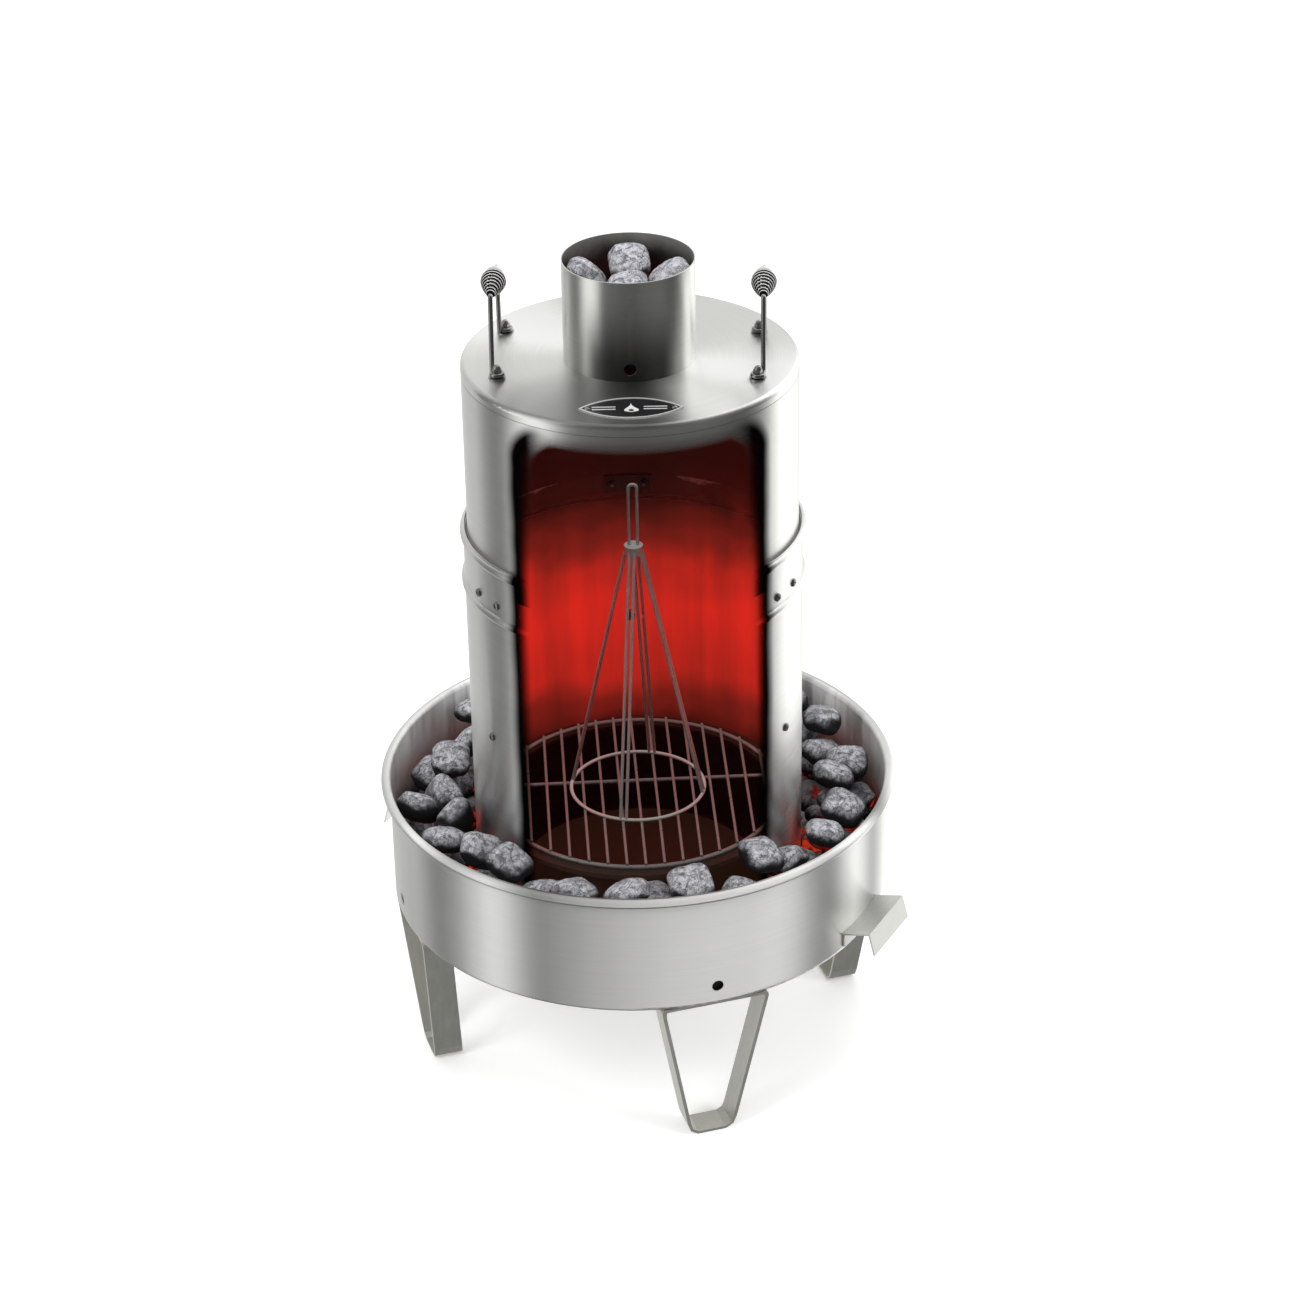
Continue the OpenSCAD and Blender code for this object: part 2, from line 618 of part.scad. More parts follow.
module handle_washers() color(WIRE) at_handle_bolts() {
    at_z(lid_top + 0.01) tube(8.4, lid_bolt_hole_r, sheet - 0.02);
    at_z(lid_top - 2 * sheet - 0.01) tube(6.5, lid_bolt_hole_r, sheet);
}
module handle_nuts() color(WIRE) at_handle_bolts() at_z(foot_z + wire_r) difference() {
    union() {
        hex(4.62, lid_hex_h);
        at_z(lid_hex_h) dome(3.8, 3.9);
    }
    at_z(-1) cylinder(h = 4.9, r = lid_bolt_r);
}

// ---------- nameplate ----------
plate_y = -127;
plate_r = 65.9;                         // two arcs of this radius make the oval
plate_half = 23;                        // half the oval's width from front to back
plate_face = 1.1;                       // height of the sunken face on the lid

module oval(inset) {
    intersection() {
        translate([0, plate_r - plate_half]) circle(plate_r - inset);
        translate([0, plate_half - plate_r]) circle(plate_r - inset);
    }
}
module at_plate_rivets() {
    for (side = [-1, 1]) translate([side * 41.5, plate_y, 0]) children();
}
module nameplate() color(DARK) difference() {
    translate([0, plate_y, lid_top]) difference() {
        linear_extrude(height = 1.6) oval(0);
        at_z(plate_face) linear_extrude(height = 2) oval(2.2);
    }
    at_plate_rivets() at_z(lid_top - 1) cylinder(h = 4, r = plate_rivet_r);
}
// point t (0 to 180) on a flame's edge; the sign of width chooses the side
function flame(t, width) = let (v = t / 180) [
    width * 8.2 * sin(t) * (1 - 0.55 * v) + width * 1.9 * sin(2 * t),
    -9 + 21 * v - 3.5 * sin(t)];
// a plain stylised flame between two pairs of rules
module nameplate_emblem() color(EMBLEM) translate([0, plate_y, lid_top + plate_face]) {
    linear_extrude(height = 0.5) difference() {
        polygon(concat([for (t = [0:9:180]) flame(t, 1)],
            [for (t = [171:-9:9]) flame(t, -0.86)]));
        translate([0.2, -5.2]) circle(2.7);
    }
    for (side = [-1, 1]) for (y = [-2.6, 2.6])
        translate([side * 24.5 - 12.5, y - 0.5, 0]) cube([25 - abs(y), 1, 0.45]);
}
module nameplate_rivets() color(WIRE) at_plate_rivets() rivet(
    head = [lid_top + plate_face, 2.8, 1.7],
    shank = [lid_top - sheet, plate_rivet_r, sheet + 1.5],
    tail = [lid_top - sheet, 2.6, 1.2]);

// ---------- inside ----------
ring_r = 2.4;                           // wire of the grate's ring
rod_r = 1.5;
rod_z = grate_z + ring_r + rod_r - 0.5; // rods sink a little into the ring
cross_y = 21;                           // the rod under the others
drip_z = grate_z - ring_r;              // the grate stands on this rim
stand_w = 1.9;                          // wire radius of the stand's ring
stand_z = rod_z + rod_r + stand_w;      // the stand's ring lies on the rods

module drip_pan() color(DRIP_GREY) rotate_extrude($fn = 128) {
    base = 132;                         // outer radius at the floor
    mouth = 143;                        // radius where the wall turns out into the rim
    rim = 160;                          // inside of the rim's turned-down edge
    floor_z = chamber_floor;
    // underside from the axis outwards, then the upper side back
    polygon([
        [0, floor_z], [base - 4, floor_z], [base - 1.2, floor_z + 1.2], [base, floor_z + 4],
        [mouth + 0.3, drip_z - sheet - 1.5], [mouth + 1.6, drip_z - sheet],
        [rim, drip_z - sheet], [rim, drip_z - 5], [rim + 1.2, drip_z - 5], [rim + 1.2, drip_z],
        [mouth + 1, drip_z], [mouth - 0.9, drip_z - 1.8],
        [base - 1.3, floor_z + 4.6], [base - 2.2, floor_z + 2.2],
        [base - 4.4, floor_z + sheet], [0, floor_z + sheet]]);
}
// half the length of the grate ring's chord at a distance from its middle
function half_chord(distance) = sqrt(grate_r * grate_r - distance * distance);
module cooking_grate() color(WIRE) rotate([0, 0, 2.5]) {
    ring(grate_r, ring_r, grate_z);
    for (i = [-7:1:7]) let (x = i * rod_pitch, half = half_chord(x) + 0.8)
        translate([x, half, rod_z]) rotate([90, 0, 0]) cylinder(h = 2 * half, r = rod_r);
    let (half = half_chord(cross_y) + 0.5)
        translate([-half, cross_y, grate_z + 0.3]) rotate([0, 90, 0])
        cylinder(h = 2 * half, r = 2);
}
// a ring, four pairs of wires rising to a collar, and a tall wire loop above it
module poultry_stand() color(WIRE) {
    thin = stand_w - 0.2;
    loop_r = 4.3;
    loop_z = stand_top - thin - loop_r;
    collar_z = stand_top - 78;
    ring(stand_r, stand_w, stand_z);
    for (angle = [-103, -13, 77, 167]) rotate([0, 0, angle]) for (side = [-1, 1])
        rod([stand_r, side * 3, stand_z], [7.4, side * 2.7, collar_z + 5], thin);
    at_z(collar_z) cylinder(h = 9, r = 9.6);
    for (side = [-1, 1]) translate([side * loop_r, 0, collar_z + 2])
        cylinder(h = loop_z - collar_z - 2, r = thin);
    at_z(loop_z) rotate([90, 0, 0]) rotate_extrude(angle = 180)
        translate([loop_r, 0]) circle(thin);
}

fire_pan();
leg(0);  // leg_front
leg(1);  // leg_right
leg(2);  // leg_rear
leg(3);  // leg_left
leg_rivets();
pan_handle(rest_a);  // pan_handle_right
pan_handle(rest_a + 180);  // pan_handle_left
pan_handle_rivets();
chamber_shell();
chamber_bolts();
chamber_washers();
chamber_nuts();
lid_rest(0);  // lid_rest_right
lid_rest(1);  // lid_rest_rear
lid_rest(2);  // lid_rest_left
lid_rest_screws();
lid_rest_nuts();
rack_peg(0);  // rack_peg_right
rack_peg(1);  // rack_peg_rear
rack_peg(2);  // rack_peg_left
rack_peg_screws();
pan_ember_bed();
pan_briquettes();
lid_wall();
lid_cap();
charcoal_cup();
cup_ember_bed();
cup_briquettes();
handle_wire(1);  // handle_wire_right
handle_wire(-1);  // handle_wire_left
coil_grip(1);  // coil_grip_right
coil_grip(-1);  // coil_grip_left
handle_bolts();
handle_washers();
handle_nuts();
nameplate();
nameplate_emblem();
nameplate_rivets();
drip_pan();
cooking_grate();
poultry_stand();
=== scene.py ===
# An upright charcoal roaster: a ring-shaped fire pan on legs round a tall chamber, a lid
# with two coil-gripped handles and a charcoal cup on top. The chamber's axis is the z axis,
# the front faces -y and +x is to the right. Lengths are in metres.
import math
import random
from collections import namedtuple
from functools import lru_cache

import bmesh
import bpy
import numpy as np
from mathutils import Matrix, Vector, noise


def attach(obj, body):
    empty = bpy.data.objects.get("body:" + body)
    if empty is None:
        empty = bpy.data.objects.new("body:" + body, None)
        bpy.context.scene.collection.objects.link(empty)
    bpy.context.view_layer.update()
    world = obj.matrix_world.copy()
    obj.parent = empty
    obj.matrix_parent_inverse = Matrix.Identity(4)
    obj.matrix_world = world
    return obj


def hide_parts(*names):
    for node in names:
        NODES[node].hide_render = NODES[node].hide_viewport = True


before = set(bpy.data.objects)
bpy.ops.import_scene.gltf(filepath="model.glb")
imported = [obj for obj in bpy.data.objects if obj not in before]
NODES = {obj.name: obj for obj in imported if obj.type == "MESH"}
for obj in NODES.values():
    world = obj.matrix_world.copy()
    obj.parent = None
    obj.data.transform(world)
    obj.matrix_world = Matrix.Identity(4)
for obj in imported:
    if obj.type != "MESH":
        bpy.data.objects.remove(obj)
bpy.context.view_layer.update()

scene = bpy.context.scene
scene.view_settings.view_transform = "Standard"
scene.view_settings.look = "None"

LID_TOP = 0.7695
HANDLE_X = 0.131  # from the axis to each handle's plane
GRIP_Z = LID_TOP + 0.077  # middle line of the grips
HANDLE_TURN = math.radians(-3)  # both handles together, about z

# the see-through panel in the front of the lid and the chamber: a rounded rectangle
# on the unrolled wall
WALL_R = 0.1695
PANEL_MID = 0.0095
PANEL_HALF = 0.1410
PANEL_LOW, PANEL_HIGH = 0.196, 0.7530
PANEL_CORNER = 0.037


# ------------------------------------------------------------------ node trees
def forward(operation):
    return lambda self, other=None: self.tree.math(operation, self, other)


def reflected(operation):
    return lambda self, other: self.tree.math(operation, other, self)


class Signal:
    """An output socket; arithmetic on it adds Math nodes."""

    def __init__(self, tree, socket):
        self.tree, self.socket = tree, socket

    __add__, __radd__ = forward("ADD"), reflected("ADD")
    __sub__, __rsub__ = forward("SUBTRACT"), reflected("SUBTRACT")
    __mul__ = forward("MULTIPLY")
    __truediv__ = forward("DIVIDE")
    __lt__ = forward("LESS_THAN")
    __abs__ = forward("ABSOLUTE")
    at_least = forward("MAXIMUM")
    at_most = forward("MINIMUM")
    root = forward("SQRT")
    sign = forward("SIGN")

    def swing(self, span):
        """Recentres a 0 to 1 signal on 0, with the given span."""
        return (self - 0.5) * span

    def fade(self, zero, one, smooth=True):
        """0 up to one bound, 1 past the other; zero may be the larger."""
        rising = zero < one
        low, high = (zero, one) if rising else (one, zero)
        return self.tree.signal(
            "ShaderNodeMapRange",
            {"Value": self, "From Min": low, "From Max": high,
             "To Min": 0.0 if rising else 1.0, "To Max": 1.0 if rising else 0.0},
            interpolation_type="SMOOTHSTEP" if smooth else "LINEAR", clamp=True)

    def split(self):
        return self.tree.signals("ShaderNodeSeparateXYZ", (0, 1, 2), {0: self})


class Tree:
    """A short way to write a node tree."""

    def __init__(self, node_tree):
        self.node_tree = node_tree
        node_tree.nodes.clear()

    def put(self, socket, value):
        if isinstance(value, Signal):
            self.node_tree.links.new(value.socket, socket)
        elif value is not None:
            if hasattr(value, "__len__"):
                value = tuple(value) + (1.0,) * (len(socket.default_value) - len(value))
            socket.default_value = value

    def node(self, kind, inputs={}, **props):
        made = self.node_tree.nodes.new(kind)
        for key, value in props.items():
            setattr(made, key, value)
        for key, value in inputs.items():
            self.put(made.inputs[key], value)
        return made

    def signals(self, kind, outputs, inputs={}, **props):
        made = self.node(kind, inputs, **props)
        return [Signal(self, made.outputs[key]) for key in outputs]

    def signal(self, kind, inputs={}, output=0, **props):
        return self.signals(kind, (output,), inputs, **props)[0]

    def math(self, operation, first, second=None, clamp=False):
        return self.signal("ShaderNodeMath", {0: first, 1: second},
                           operation=operation, use_clamp=clamp)

    def vec(self, x, y, z):
        return self.signal("ShaderNodeCombineXYZ", {0: x, 1: y, 2: z})

    def point(self):
        return self.signal("ShaderNodeTexCoord", output="Object")

    def facing_up(self):
        """The z part of the surface normal."""
        return self.signal("ShaderNodeNewGeometry", output="Normal").split()[2]

    def noise(self, point, scale=1.0, detail=3.0, rough=0.5, warp=0.0):
        return self.signal("ShaderNodeTexNoise", {
            "Vector": point, "Scale": scale, "Detail": detail,
            "Roughness": rough, "Distortion": warp})

    def voronoi(self, point, scale, feature="F1"):
        return self.signal("ShaderNodeTexVoronoi", {"Vector": point, "Scale": scale},
                           "Distance", feature=feature)

    def ramp(self, factor, stops, mode="LINEAR"):
        """stops are (position, grey or colour)."""
        made = self.node("ShaderNodeValToRGB", {0: factor})
        made.color_ramp.interpolation = mode
        elements = made.color_ramp.elements
        while len(elements) < len(stops):
            elements.new(0.5)
        for i, (position, colour) in enumerate(stops):
            elements[i].position = position
            rgb = tuple(colour) if hasattr(colour, "__len__") else (colour,) * 3
            elements[i].color = rgb + (1.0,)
        return Signal(self, made.outputs[0])

    def mix(self, factor, first, second, mode="MIX"):
        return self.signal("ShaderNodeMix", {0: factor, 6: first, 7: second}, 2,
                           data_type="RGBA", blend_type=mode)

    def scaled(self, colour, value):
        return self.mix(1.0, colour, self.vec(value, value, value), "MULTIPLY")

    def bump(self, height, strength, distance):
        return self.signal("ShaderNodeBump", {
            "Height": height, "Strength": strength, "Distance": distance})

    def principled(self, **inputs):
        return self.signal("ShaderNodeBsdfPrincipled",
                           {key.replace("_", " "): value for key, value in inputs.items()})

    def blend(self, factor, first, second):
        return self.signal("ShaderNodeMixShader", {0: factor, 1: first, 2: second})

    def out(self, shader):
        self.node("ShaderNodeOutputMaterial", {0: shader})


def material(name):
    mat = bpy.data.materials.new(name)
    mat.use_nodes = True
    return mat, Tree(mat.node_tree)


# angle is 0 at the front and positive towards +x; radius is the distance from the axis
Place = namedtuple("Place", "point x y z angle radius")


def bearing(x, y):
    return x.tree.math("ARCTAN2", x, y * -1.0)


def length(first, second):
    return (first * first + second * second).root()


def polar(tree):
    point = tree.point()
    x, y, z = point.split()
    return Place(point, x, y, z, bearing(x, y), length(x, y))


def facing_in(tree, at):
    """1 on the faces of a shell that look at its axis."""
    normal_x, normal_y, _ = tree.signal("ShaderNodeNewGeometry", output="True Normal").split()
    outward = normal_x * at.x + normal_y * at.y
    return outward / at.radius.at_least(1e-4) < -0.25


def square_on(tree):
    """How squarely a face is seen: 1 face on, 0 edge on."""
    normal, incoming = tree.signals("ShaderNodeNewGeometry", ("Normal", "Incoming"))
    return abs(tree.signal("ShaderNodeVectorMath", {0: normal, 1: incoming}, "Value",
                           operation="DOT_PRODUCT"))


def angle_ramp(angle, stops, peak):
    """A ramp round the axis; stops are (degrees from the front, value), divided by peak."""
    turn = angle * (1 / (2 * math.pi)) + 0.5
    return angle.tree.ramp(turn, [((deg + 180) / 360, value / peak) for deg, value in stops],
                           "CARDINAL")


def round_factor(angle, stops):
    peak = max(value for _, value in stops)
    return angle_ramp(angle, stops, peak) * peak


# ------------------------------------------------------------------ see-through panel
def panel_offset(at):
    """Distance along the wall from the panel's upright middle line."""
    return abs(at.angle * WALL_R - PANEL_MID)


def panel_depth(at):
    """Metres inside the panel's outline; negative outside it."""
    across = panel_offset(at) - (PANEL_HALF - PANEL_CORNER)
    upright = (abs(at.z - (PANEL_LOW + PANEL_HIGH) / 2)
               - ((PANEL_HIGH - PANEL_LOW) / 2 - PANEL_CORNER))
    outer = length(across.at_least(0.0), upright.at_least(0.0))
    inner = across.at_least(upright).at_most(0.0)
    return PANEL_CORNER - (outer + inner)


def add_panel(tree, at, shader):
    depth = panel_depth(at)
    # the painted shade round the panel is strong down both sides and along the foot, and nearly
    # absent in the middle of the top
    flank = (PANEL_HALF - panel_offset(at)).fade(zero=0.052, one=0.020)
    crown = (1.0 - flank) * at.z.fade(zero=0.64, one=0.71)
    surround = 1.0 - crown * 0.85
    # a near-black sheet: painted shade along the panel's edge
    black = tree.principled(Base_Color=(0.0012, 0.001, 0.001), Roughness=0.9,
                            Specular_IOR_Level=0.0)
    ragged = depth + tree.noise(at.point, scale=14.0, detail=2.0).swing(0.006)
    edge = ragged.fade(zero=-0.0095, one=0.0055)
    shader = tree.blend(edge * surround, shader, black)
    # width over which the panel clears: wider in the top corners, narrower along the crown
    corner = flank * at.z.fade(zero=0.58, one=0.74)
    reach = 0.020 + corner * 0.013 + crown * -0.003
    see = tree.math("DIVIDE", depth - 0.002 + crown * 0.0045, reach, clamp=True)
    see = see * see * (3.0 - see * 2.0)
    # less clear to rays that don't come from the camera
    camera_ray = tree.signal("ShaderNodeLightPath", output="Is Camera Ray")
    see = see * (0.65 + camera_ray * 0.35)
    return tree.blend(see, shader, tree.signal("ShaderNodeBsdfTransparent"))


# ------------------------------------------------------------------ brushed sheet
def ring_noise(tree, at, around, across, **texture):
    """Noise drawn out round the axis."""
    stretched = tree.vec(at.angle * around, at.z * across, at.radius * across)
    return tree.noise(stretched, **texture)


def inside_face(tree, at, outer_colour, bump, colour, rough=0.6, soot=None, glow=None,
                clean_dark=0.5, clean_metal=0.75):
    """The faces that look at the axis. soot is (full, clear): the heights between which
    smoke stain fades. clean_dark greys the clean metal and clean_metal is its added
    metallic part."""
    smoke = tree.noise(at.point, scale=22.0, detail=5.0, rough=0.65)
    stain = tree.mix(smoke.swing(0.6) + 0.5, [c * 0.5 for c in colour], [c * 1.5 for c in colour])
    metal = 0.25
    if soot:
        clean = (at.z + smoke.swing(0.03)).fade(*soot)
        stain = tree.mix(clean, stain, tree.mix(clean_dark, outer_colour, (0.25, 0.24, 0.22)))
        metal = 0.2 + clean * clean_metal
    args = {}
    if glow:
        args["Emission_Color"], args["Emission_Strength"] = glow(tree, at)
    return tree.principled(Base_Color=stain, Metallic=metal,
                           Roughness=rough + smoke.swing(0.2), Normal=bump, **args)


def brushed(name, base, rough=0.34, aniso=0.85, shade=None, metal_of=lambda tree, at: 1.0,
            painted_glow=None, inner=None, panel=False):
    """Sheet metal brushed round the axis. shade gives a colour factor, tint is a painted glow given
    as an emission (colour, strength) and inner holds the arguments of inside_face."""
    mat, tree = material(name)
    at = polar(tree)
    fine = ring_noise(tree, at, around=2.2, across=1500.0, rough=0.6)
    broad = ring_noise(tree, at, around=0.9, across=260.0, detail=4.0, rough=0.65)
    cloud = tree.noise(at.point, scale=9.0)
    streak = fine * 0.6 + broad * 0.4
    value = 1.0 + streak.swing(0.26) + cloud.swing(0.08)
    if shade:
        value = value * shade(tree, at)
    colour = tree.scaled(base, value)
    # thin scratches that cross the brushing
    scratch = ring_noise(tree, at, around=40.0, across=30.0, scale=2.0, detail=9.0, rough=0.75)
    scratch = scratch.fade(zero=0.66, one=0.72)
    bump = tree.bump(fine * 0.7 + broad * 0.5, strength=0.16, distance=0.0004)
    emission = dict(Emission_Color=painted_glow[0], Emission_Strength=painted_glow[1]) if painted_glow else {}
    shader = tree.principled(
        Base_Color=colour, Metallic=metal_of(tree, at),
        Roughness=rough + broad.swing(0.16) + scratch * 0.05,
        Anisotropic=aniso, Anisotropic_Rotation=0.25,
        Tangent=tree.signal("ShaderNodeTangent", direction_type="RADIAL", axis="Z"),
        Normal=bump, **emission)
    if inner:
        inside = inside_face(tree, at, colour, bump, **inner)
        shader = tree.blend(facing_in(tree, at), shader, inside)
    if panel:
        shader = add_panel(tree, at, shader)
    tree.out(shader)
    return mat


# (height, level) of the glow, from GLOW_FOOT to GLOW_TOP
GLOW_FOOT, GLOW_TOP = 0.17, 0.77
GLOW_LEVELS = [
    (0.0, 0.03), (0.12, 0.10), (0.19, 0.42), (0.27, 0.84), (0.40, 1.0), (0.47, 0.84),
    (0.55, 0.42), (0.588, 0.26), (0.615, 0.13), (0.64, 0.08), (0.70, 0.055), (1.0, 0.035)]


def chamber_glow(tree, at):
    waver = tree.noise(tree.vec(at.x, at.y, at.z), scale=9.0).swing(0.10)
    height = (at.z + waver).fade(zero=GLOW_FOOT, one=GLOW_TOP, smooth=False)
    level = tree.ramp(height, GLOW_LEVELS, "EASE")
    streak = tree.noise(tree.vec(at.angle * 2.6, at.z * 1.2, 0.0), scale=2.0)
    level = level * (0.80 + streak.fade(zero=0.25, one=0.75) * 0.30)
    colour = tree.mix(level, (0.30, 0.034, 0.022), (0.86, 0.024, 0.014))
    return colour, level * 0.72


def shell_glow(tree, at):
    """The same glow below the lid's edge; above it the chamber's mouth gets a faint painted white
    light.
    """
    colour, strength = chamber_glow(tree, at)
    # painted white light on the inside of the mouth, above the lid's edge
    mouth = at.z.fade(zero=0.562, one=0.566)
    below = at.z.fade(zero=0.562, one=0.556)
    return tree.mix(mouth, colour, (0.9, 0.9, 0.88)), strength * below + mouth * 0.10


# (degrees from the front, factor) round the axis
CAP_WEDGES = [
    (-180, 0.72), (-168, 0.80), (-150, 1.12), (-128, 1.28), (-112, 1.22), (-90, 0.98),
    (-62, 0.92), (-40, 0.62), (-22, 0.42), (-6, 0.34), (10, 0.40), (24, 1.05), (45, 1.12),
    (66, 1.30), (84, 1.16), (105, 0.98), (150, 1.02), (170, 0.78), (180, 0.72)]
PAN_WEDGES = [
    (-180, 0.9), (-100, 0.95), (-78, 1.0), (-66, 1.05), (-60, 1.25), (-55, 1.10), (-47, 0.68),
    (-40, 0.66), (-35, 0.72), (-30, 0.56), (-24, 0.33), (-18, 0.40), (-12, 0.52), (-5, 0.64),
    (4, 0.76), (14, 0.84), (26, 0.90), (36, 1.0), (43, 0.86), (48, 0.94), (53, 1.22),
    (59, 1.02), (66, 0.46), (72, 0.55), (79, 0.92), (88, 1.0), (120, 0.9), (180, 0.9)]
PAN_SHEEN = [
    (-180, 0.04), (-152, 0.10), (-140, 0.40), (-131, 0.20), (-121, 0.06), (-108, 0.13),
    (-97, 0.06), (-76, 0.02), (0, 0.01), (76, 0.02), (97, 0.06), (108, 0.11), (117, 0.07),
    (127, 0.34), (136, 0.15), (146, 0.38), (160, 0.10), (180, 0.04)]


def cap_shade(tree, at):
    """Wedges of light on the flat top: bright to the sides, dark towards the front."""
    wedge = round_factor(at.angle, CAP_WEDGES)
    flat = at.z.fade(zero=0.7640, one=0.7692)
    return 1.0 + (wedge - 1.0) * flat


def cup_shade(tree, at):
    """The cup mirrors the dark plate and lid low down in its middle."""
    low = at.z.fade(zero=0.862, one=0.782)
    return 1.0 - low * square_on(tree).fade(zero=0.62, one=0.80) * 0.82


def pan_shade(tree, at):
    return round_factor(at.angle, PAN_WEDGES)


def pan_sheen(tree, at):
    """Upright streaks of light under the rim inside the pan, most of them at the back."""
    where = round_factor(at.angle, PAN_SHEEN)
    fine = tree.noise(tree.vec(at.angle * 7.0, at.z * 2.0, 0.0), scale=2.0, detail=4.0, rough=0.6)
    down = (at.z + fine.swing(0.04)).fade(zero=0.246, one=0.304)
    return (1.0, 1.0, 0.985), where * down * (0.1 + fine.fade(zero=0.3, one=0.7) * 1.3)


def pan_metal(tree, at):
    """Less mirror-like where it is seen square on, so the middle stays light."""
    return 1.0 - square_on(tree).fade(zero=0.46, one=0.72) * 0.62


# ------------------------------------------------------------------ other materials
def satin(name, base, rough=0.4, stretch=60.0, metallic=1.0, dirt=0.0, lit=0.0):
    """Bar or strip metal with a straight mill grain, drawn out along z by stretch."""
    mat, tree = material(name)
    point = tree.point()
    x, y, z = point.split()
    density = 260.0
    grain = tree.noise(tree.vec(x * density, y * density, z * (density / stretch)),
                       detail=4.0, rough=0.6)
    cloud = tree.noise(point, scale=30.0, detail=4.0, rough=0.6)
    colour = tree.scaled(base, 1.0 + grain.swing(0.3) + cloud.swing(0.25))
    if dirt:
        spots = tree.noise(point, scale=120.0, detail=6.0, rough=0.7)
        colour = tree.mix(spots.fade(zero=0.5, one=0.72) * dirt, colour, (0.09, 0.065, 0.045))
    args = {}
    # lit paints light on the faces that look up, an emission as if lit from above
    if lit:
        strength = tree.facing_up().fade(zero=-0.1, one=1.0) * lit
        args = dict(Emission_Color=colour, Emission_Strength=strength)
    tree.out(tree.principled(
        Base_Color=colour, Metallic=metallic,
        Roughness=rough + cloud.swing(0.14) + grain.swing(0.1),
        Normal=tree.bump(grain, strength=0.12, distance=0.0003), **args))
    return mat


def coal(name, ash, hot, hot_z, deep_z, floor_z=None):
    """Black rough charcoal, with pale ash where it faces up and a red glow low down.
    The glow fades over the heights hot_z, fills in below deep_z and stops at floor_z."""
    mat, tree = material(name)
    point = tree.point()
    normal, island = tree.signals("ShaderNodeNewGeometry", ("Normal", "Random Per Island"))
    up = normal.split()[2]
    z = point.split()[2]
    big = tree.noise(point, scale=45.0, detail=5.0, rough=0.6, warp=0.4)
    mid = tree.noise(point, scale=170.0, detail=6.0, rough=0.7)
    grit = tree.noise(point, scale=900.0, detail=4.0, rough=0.8)
    pits = tree.voronoi(point, scale=420.0).fade(zero=0.12, one=0.34)
    warped = tree.vec(*[axis + mid.swing(0.02) for axis in point.split()])
    crack = tree.voronoi(warped, 62.0, "DISTANCE_TO_EDGE").fade(zero=0.0, one=0.05)
    # how much ash lies on the surface, and how white it shows
    cover = up * 0.55 + big * 0.75 + island * 0.30 + (ash - 0.92)
    cover = cover.fade(zero=0.10, one=0.62) * (0.35 + mid.fade(zero=0.36, one=0.60) * 0.65)
    whiteness = 1.0
    tone = cover * (0.35 + pits * 0.65) * (0.45 + crack * 0.55)
    tone = tone * (0.55 + grit.fade(zero=0.3, one=0.62) * 0.6) * whiteness
    white = tree.mix(big, (0.42, 0.43, 0.48), (0.74, 0.74, 0.78))
    low = up.fade(zero=0.25, one=-0.5).at_least(z.fade(zero=deep_z + 0.005, one=deep_z))
    heart = tree.noise(point, scale=38.0, rough=0.55).fade(zero=0.46, one=0.60)
    ember = low * heart * z.fade(zero=hot_z[1], one=hot_z[0])
    if floor_z is not None:
        ember = ember * z.fade(zero=floor_z - 0.006, one=floor_z + 0.006)
    relief = mid * 1.0 + grit * 0.5 + crack * 0.5 + pits * 0.4
    tree.out(tree.principled(
        Base_Color=tree.mix(tone, (0.011, 0.011, 0.013), white),
        Roughness=0.72 + cover * 0.2, Specular_IOR_Level=0.35,
        Normal=tree.bump(relief, strength=0.75, distance=0.0016),
        Emission_Color=tree.mix(ember, (0.55, 0.012, 0.002), (1.0, 0.065, 0.012)),
        Emission_Strength=ember * hot))
    return mat


def bed(name, hot, span, dusty):
    """The glowing charcoal under the top layer: black lumps with red and orange gaps.
    span is the noise range over which the hot areas fade in."""
    mat, tree = material(name)
    point = tree.point()
    up = tree.facing_up()
    mid = tree.noise(point, scale=150.0, detail=6.0, rough=0.7)
    grit = tree.noise(point, scale=800.0, detail=4.0, rough=0.8)
    area = tree.noise(point, scale=26.0, rough=0.55, warp=0.3).fade(*span)
    veins = tree.voronoi(point, 75.0, "DISTANCE_TO_EDGE") + mid.swing(0.35)
    veins = veins.fade(zero=0.30, one=0.02)
    ember = area * (0.35 + veins * 0.65) * up.fade(zero=0.15, one=0.6)
    ash = (up * 0.5 + mid * 0.7).fade(zero=0.55, one=0.95)
    ash = ash * (1.0 - ember.fade(zero=0.0, one=0.3)) * dusty
    heat = [(0.0, (0.5, 0.006, 0.002)), (0.55, (0.95, 0.025, 0.008)), (1.0, (1.0, 0.085, 0.015))]
    tree.out(tree.principled(
        Base_Color=tree.mix(ash, (0.012, 0.011, 0.012), (0.38, 0.37, 0.38)),
        Roughness=0.9, Specular_IOR_Level=0.2,
        Emission_Color=tree.ramp(ember, heat), Emission_Strength=ember * hot,
        Normal=tree.bump(mid + grit * 0.5, strength=0.8, distance=0.002)))
    return mat


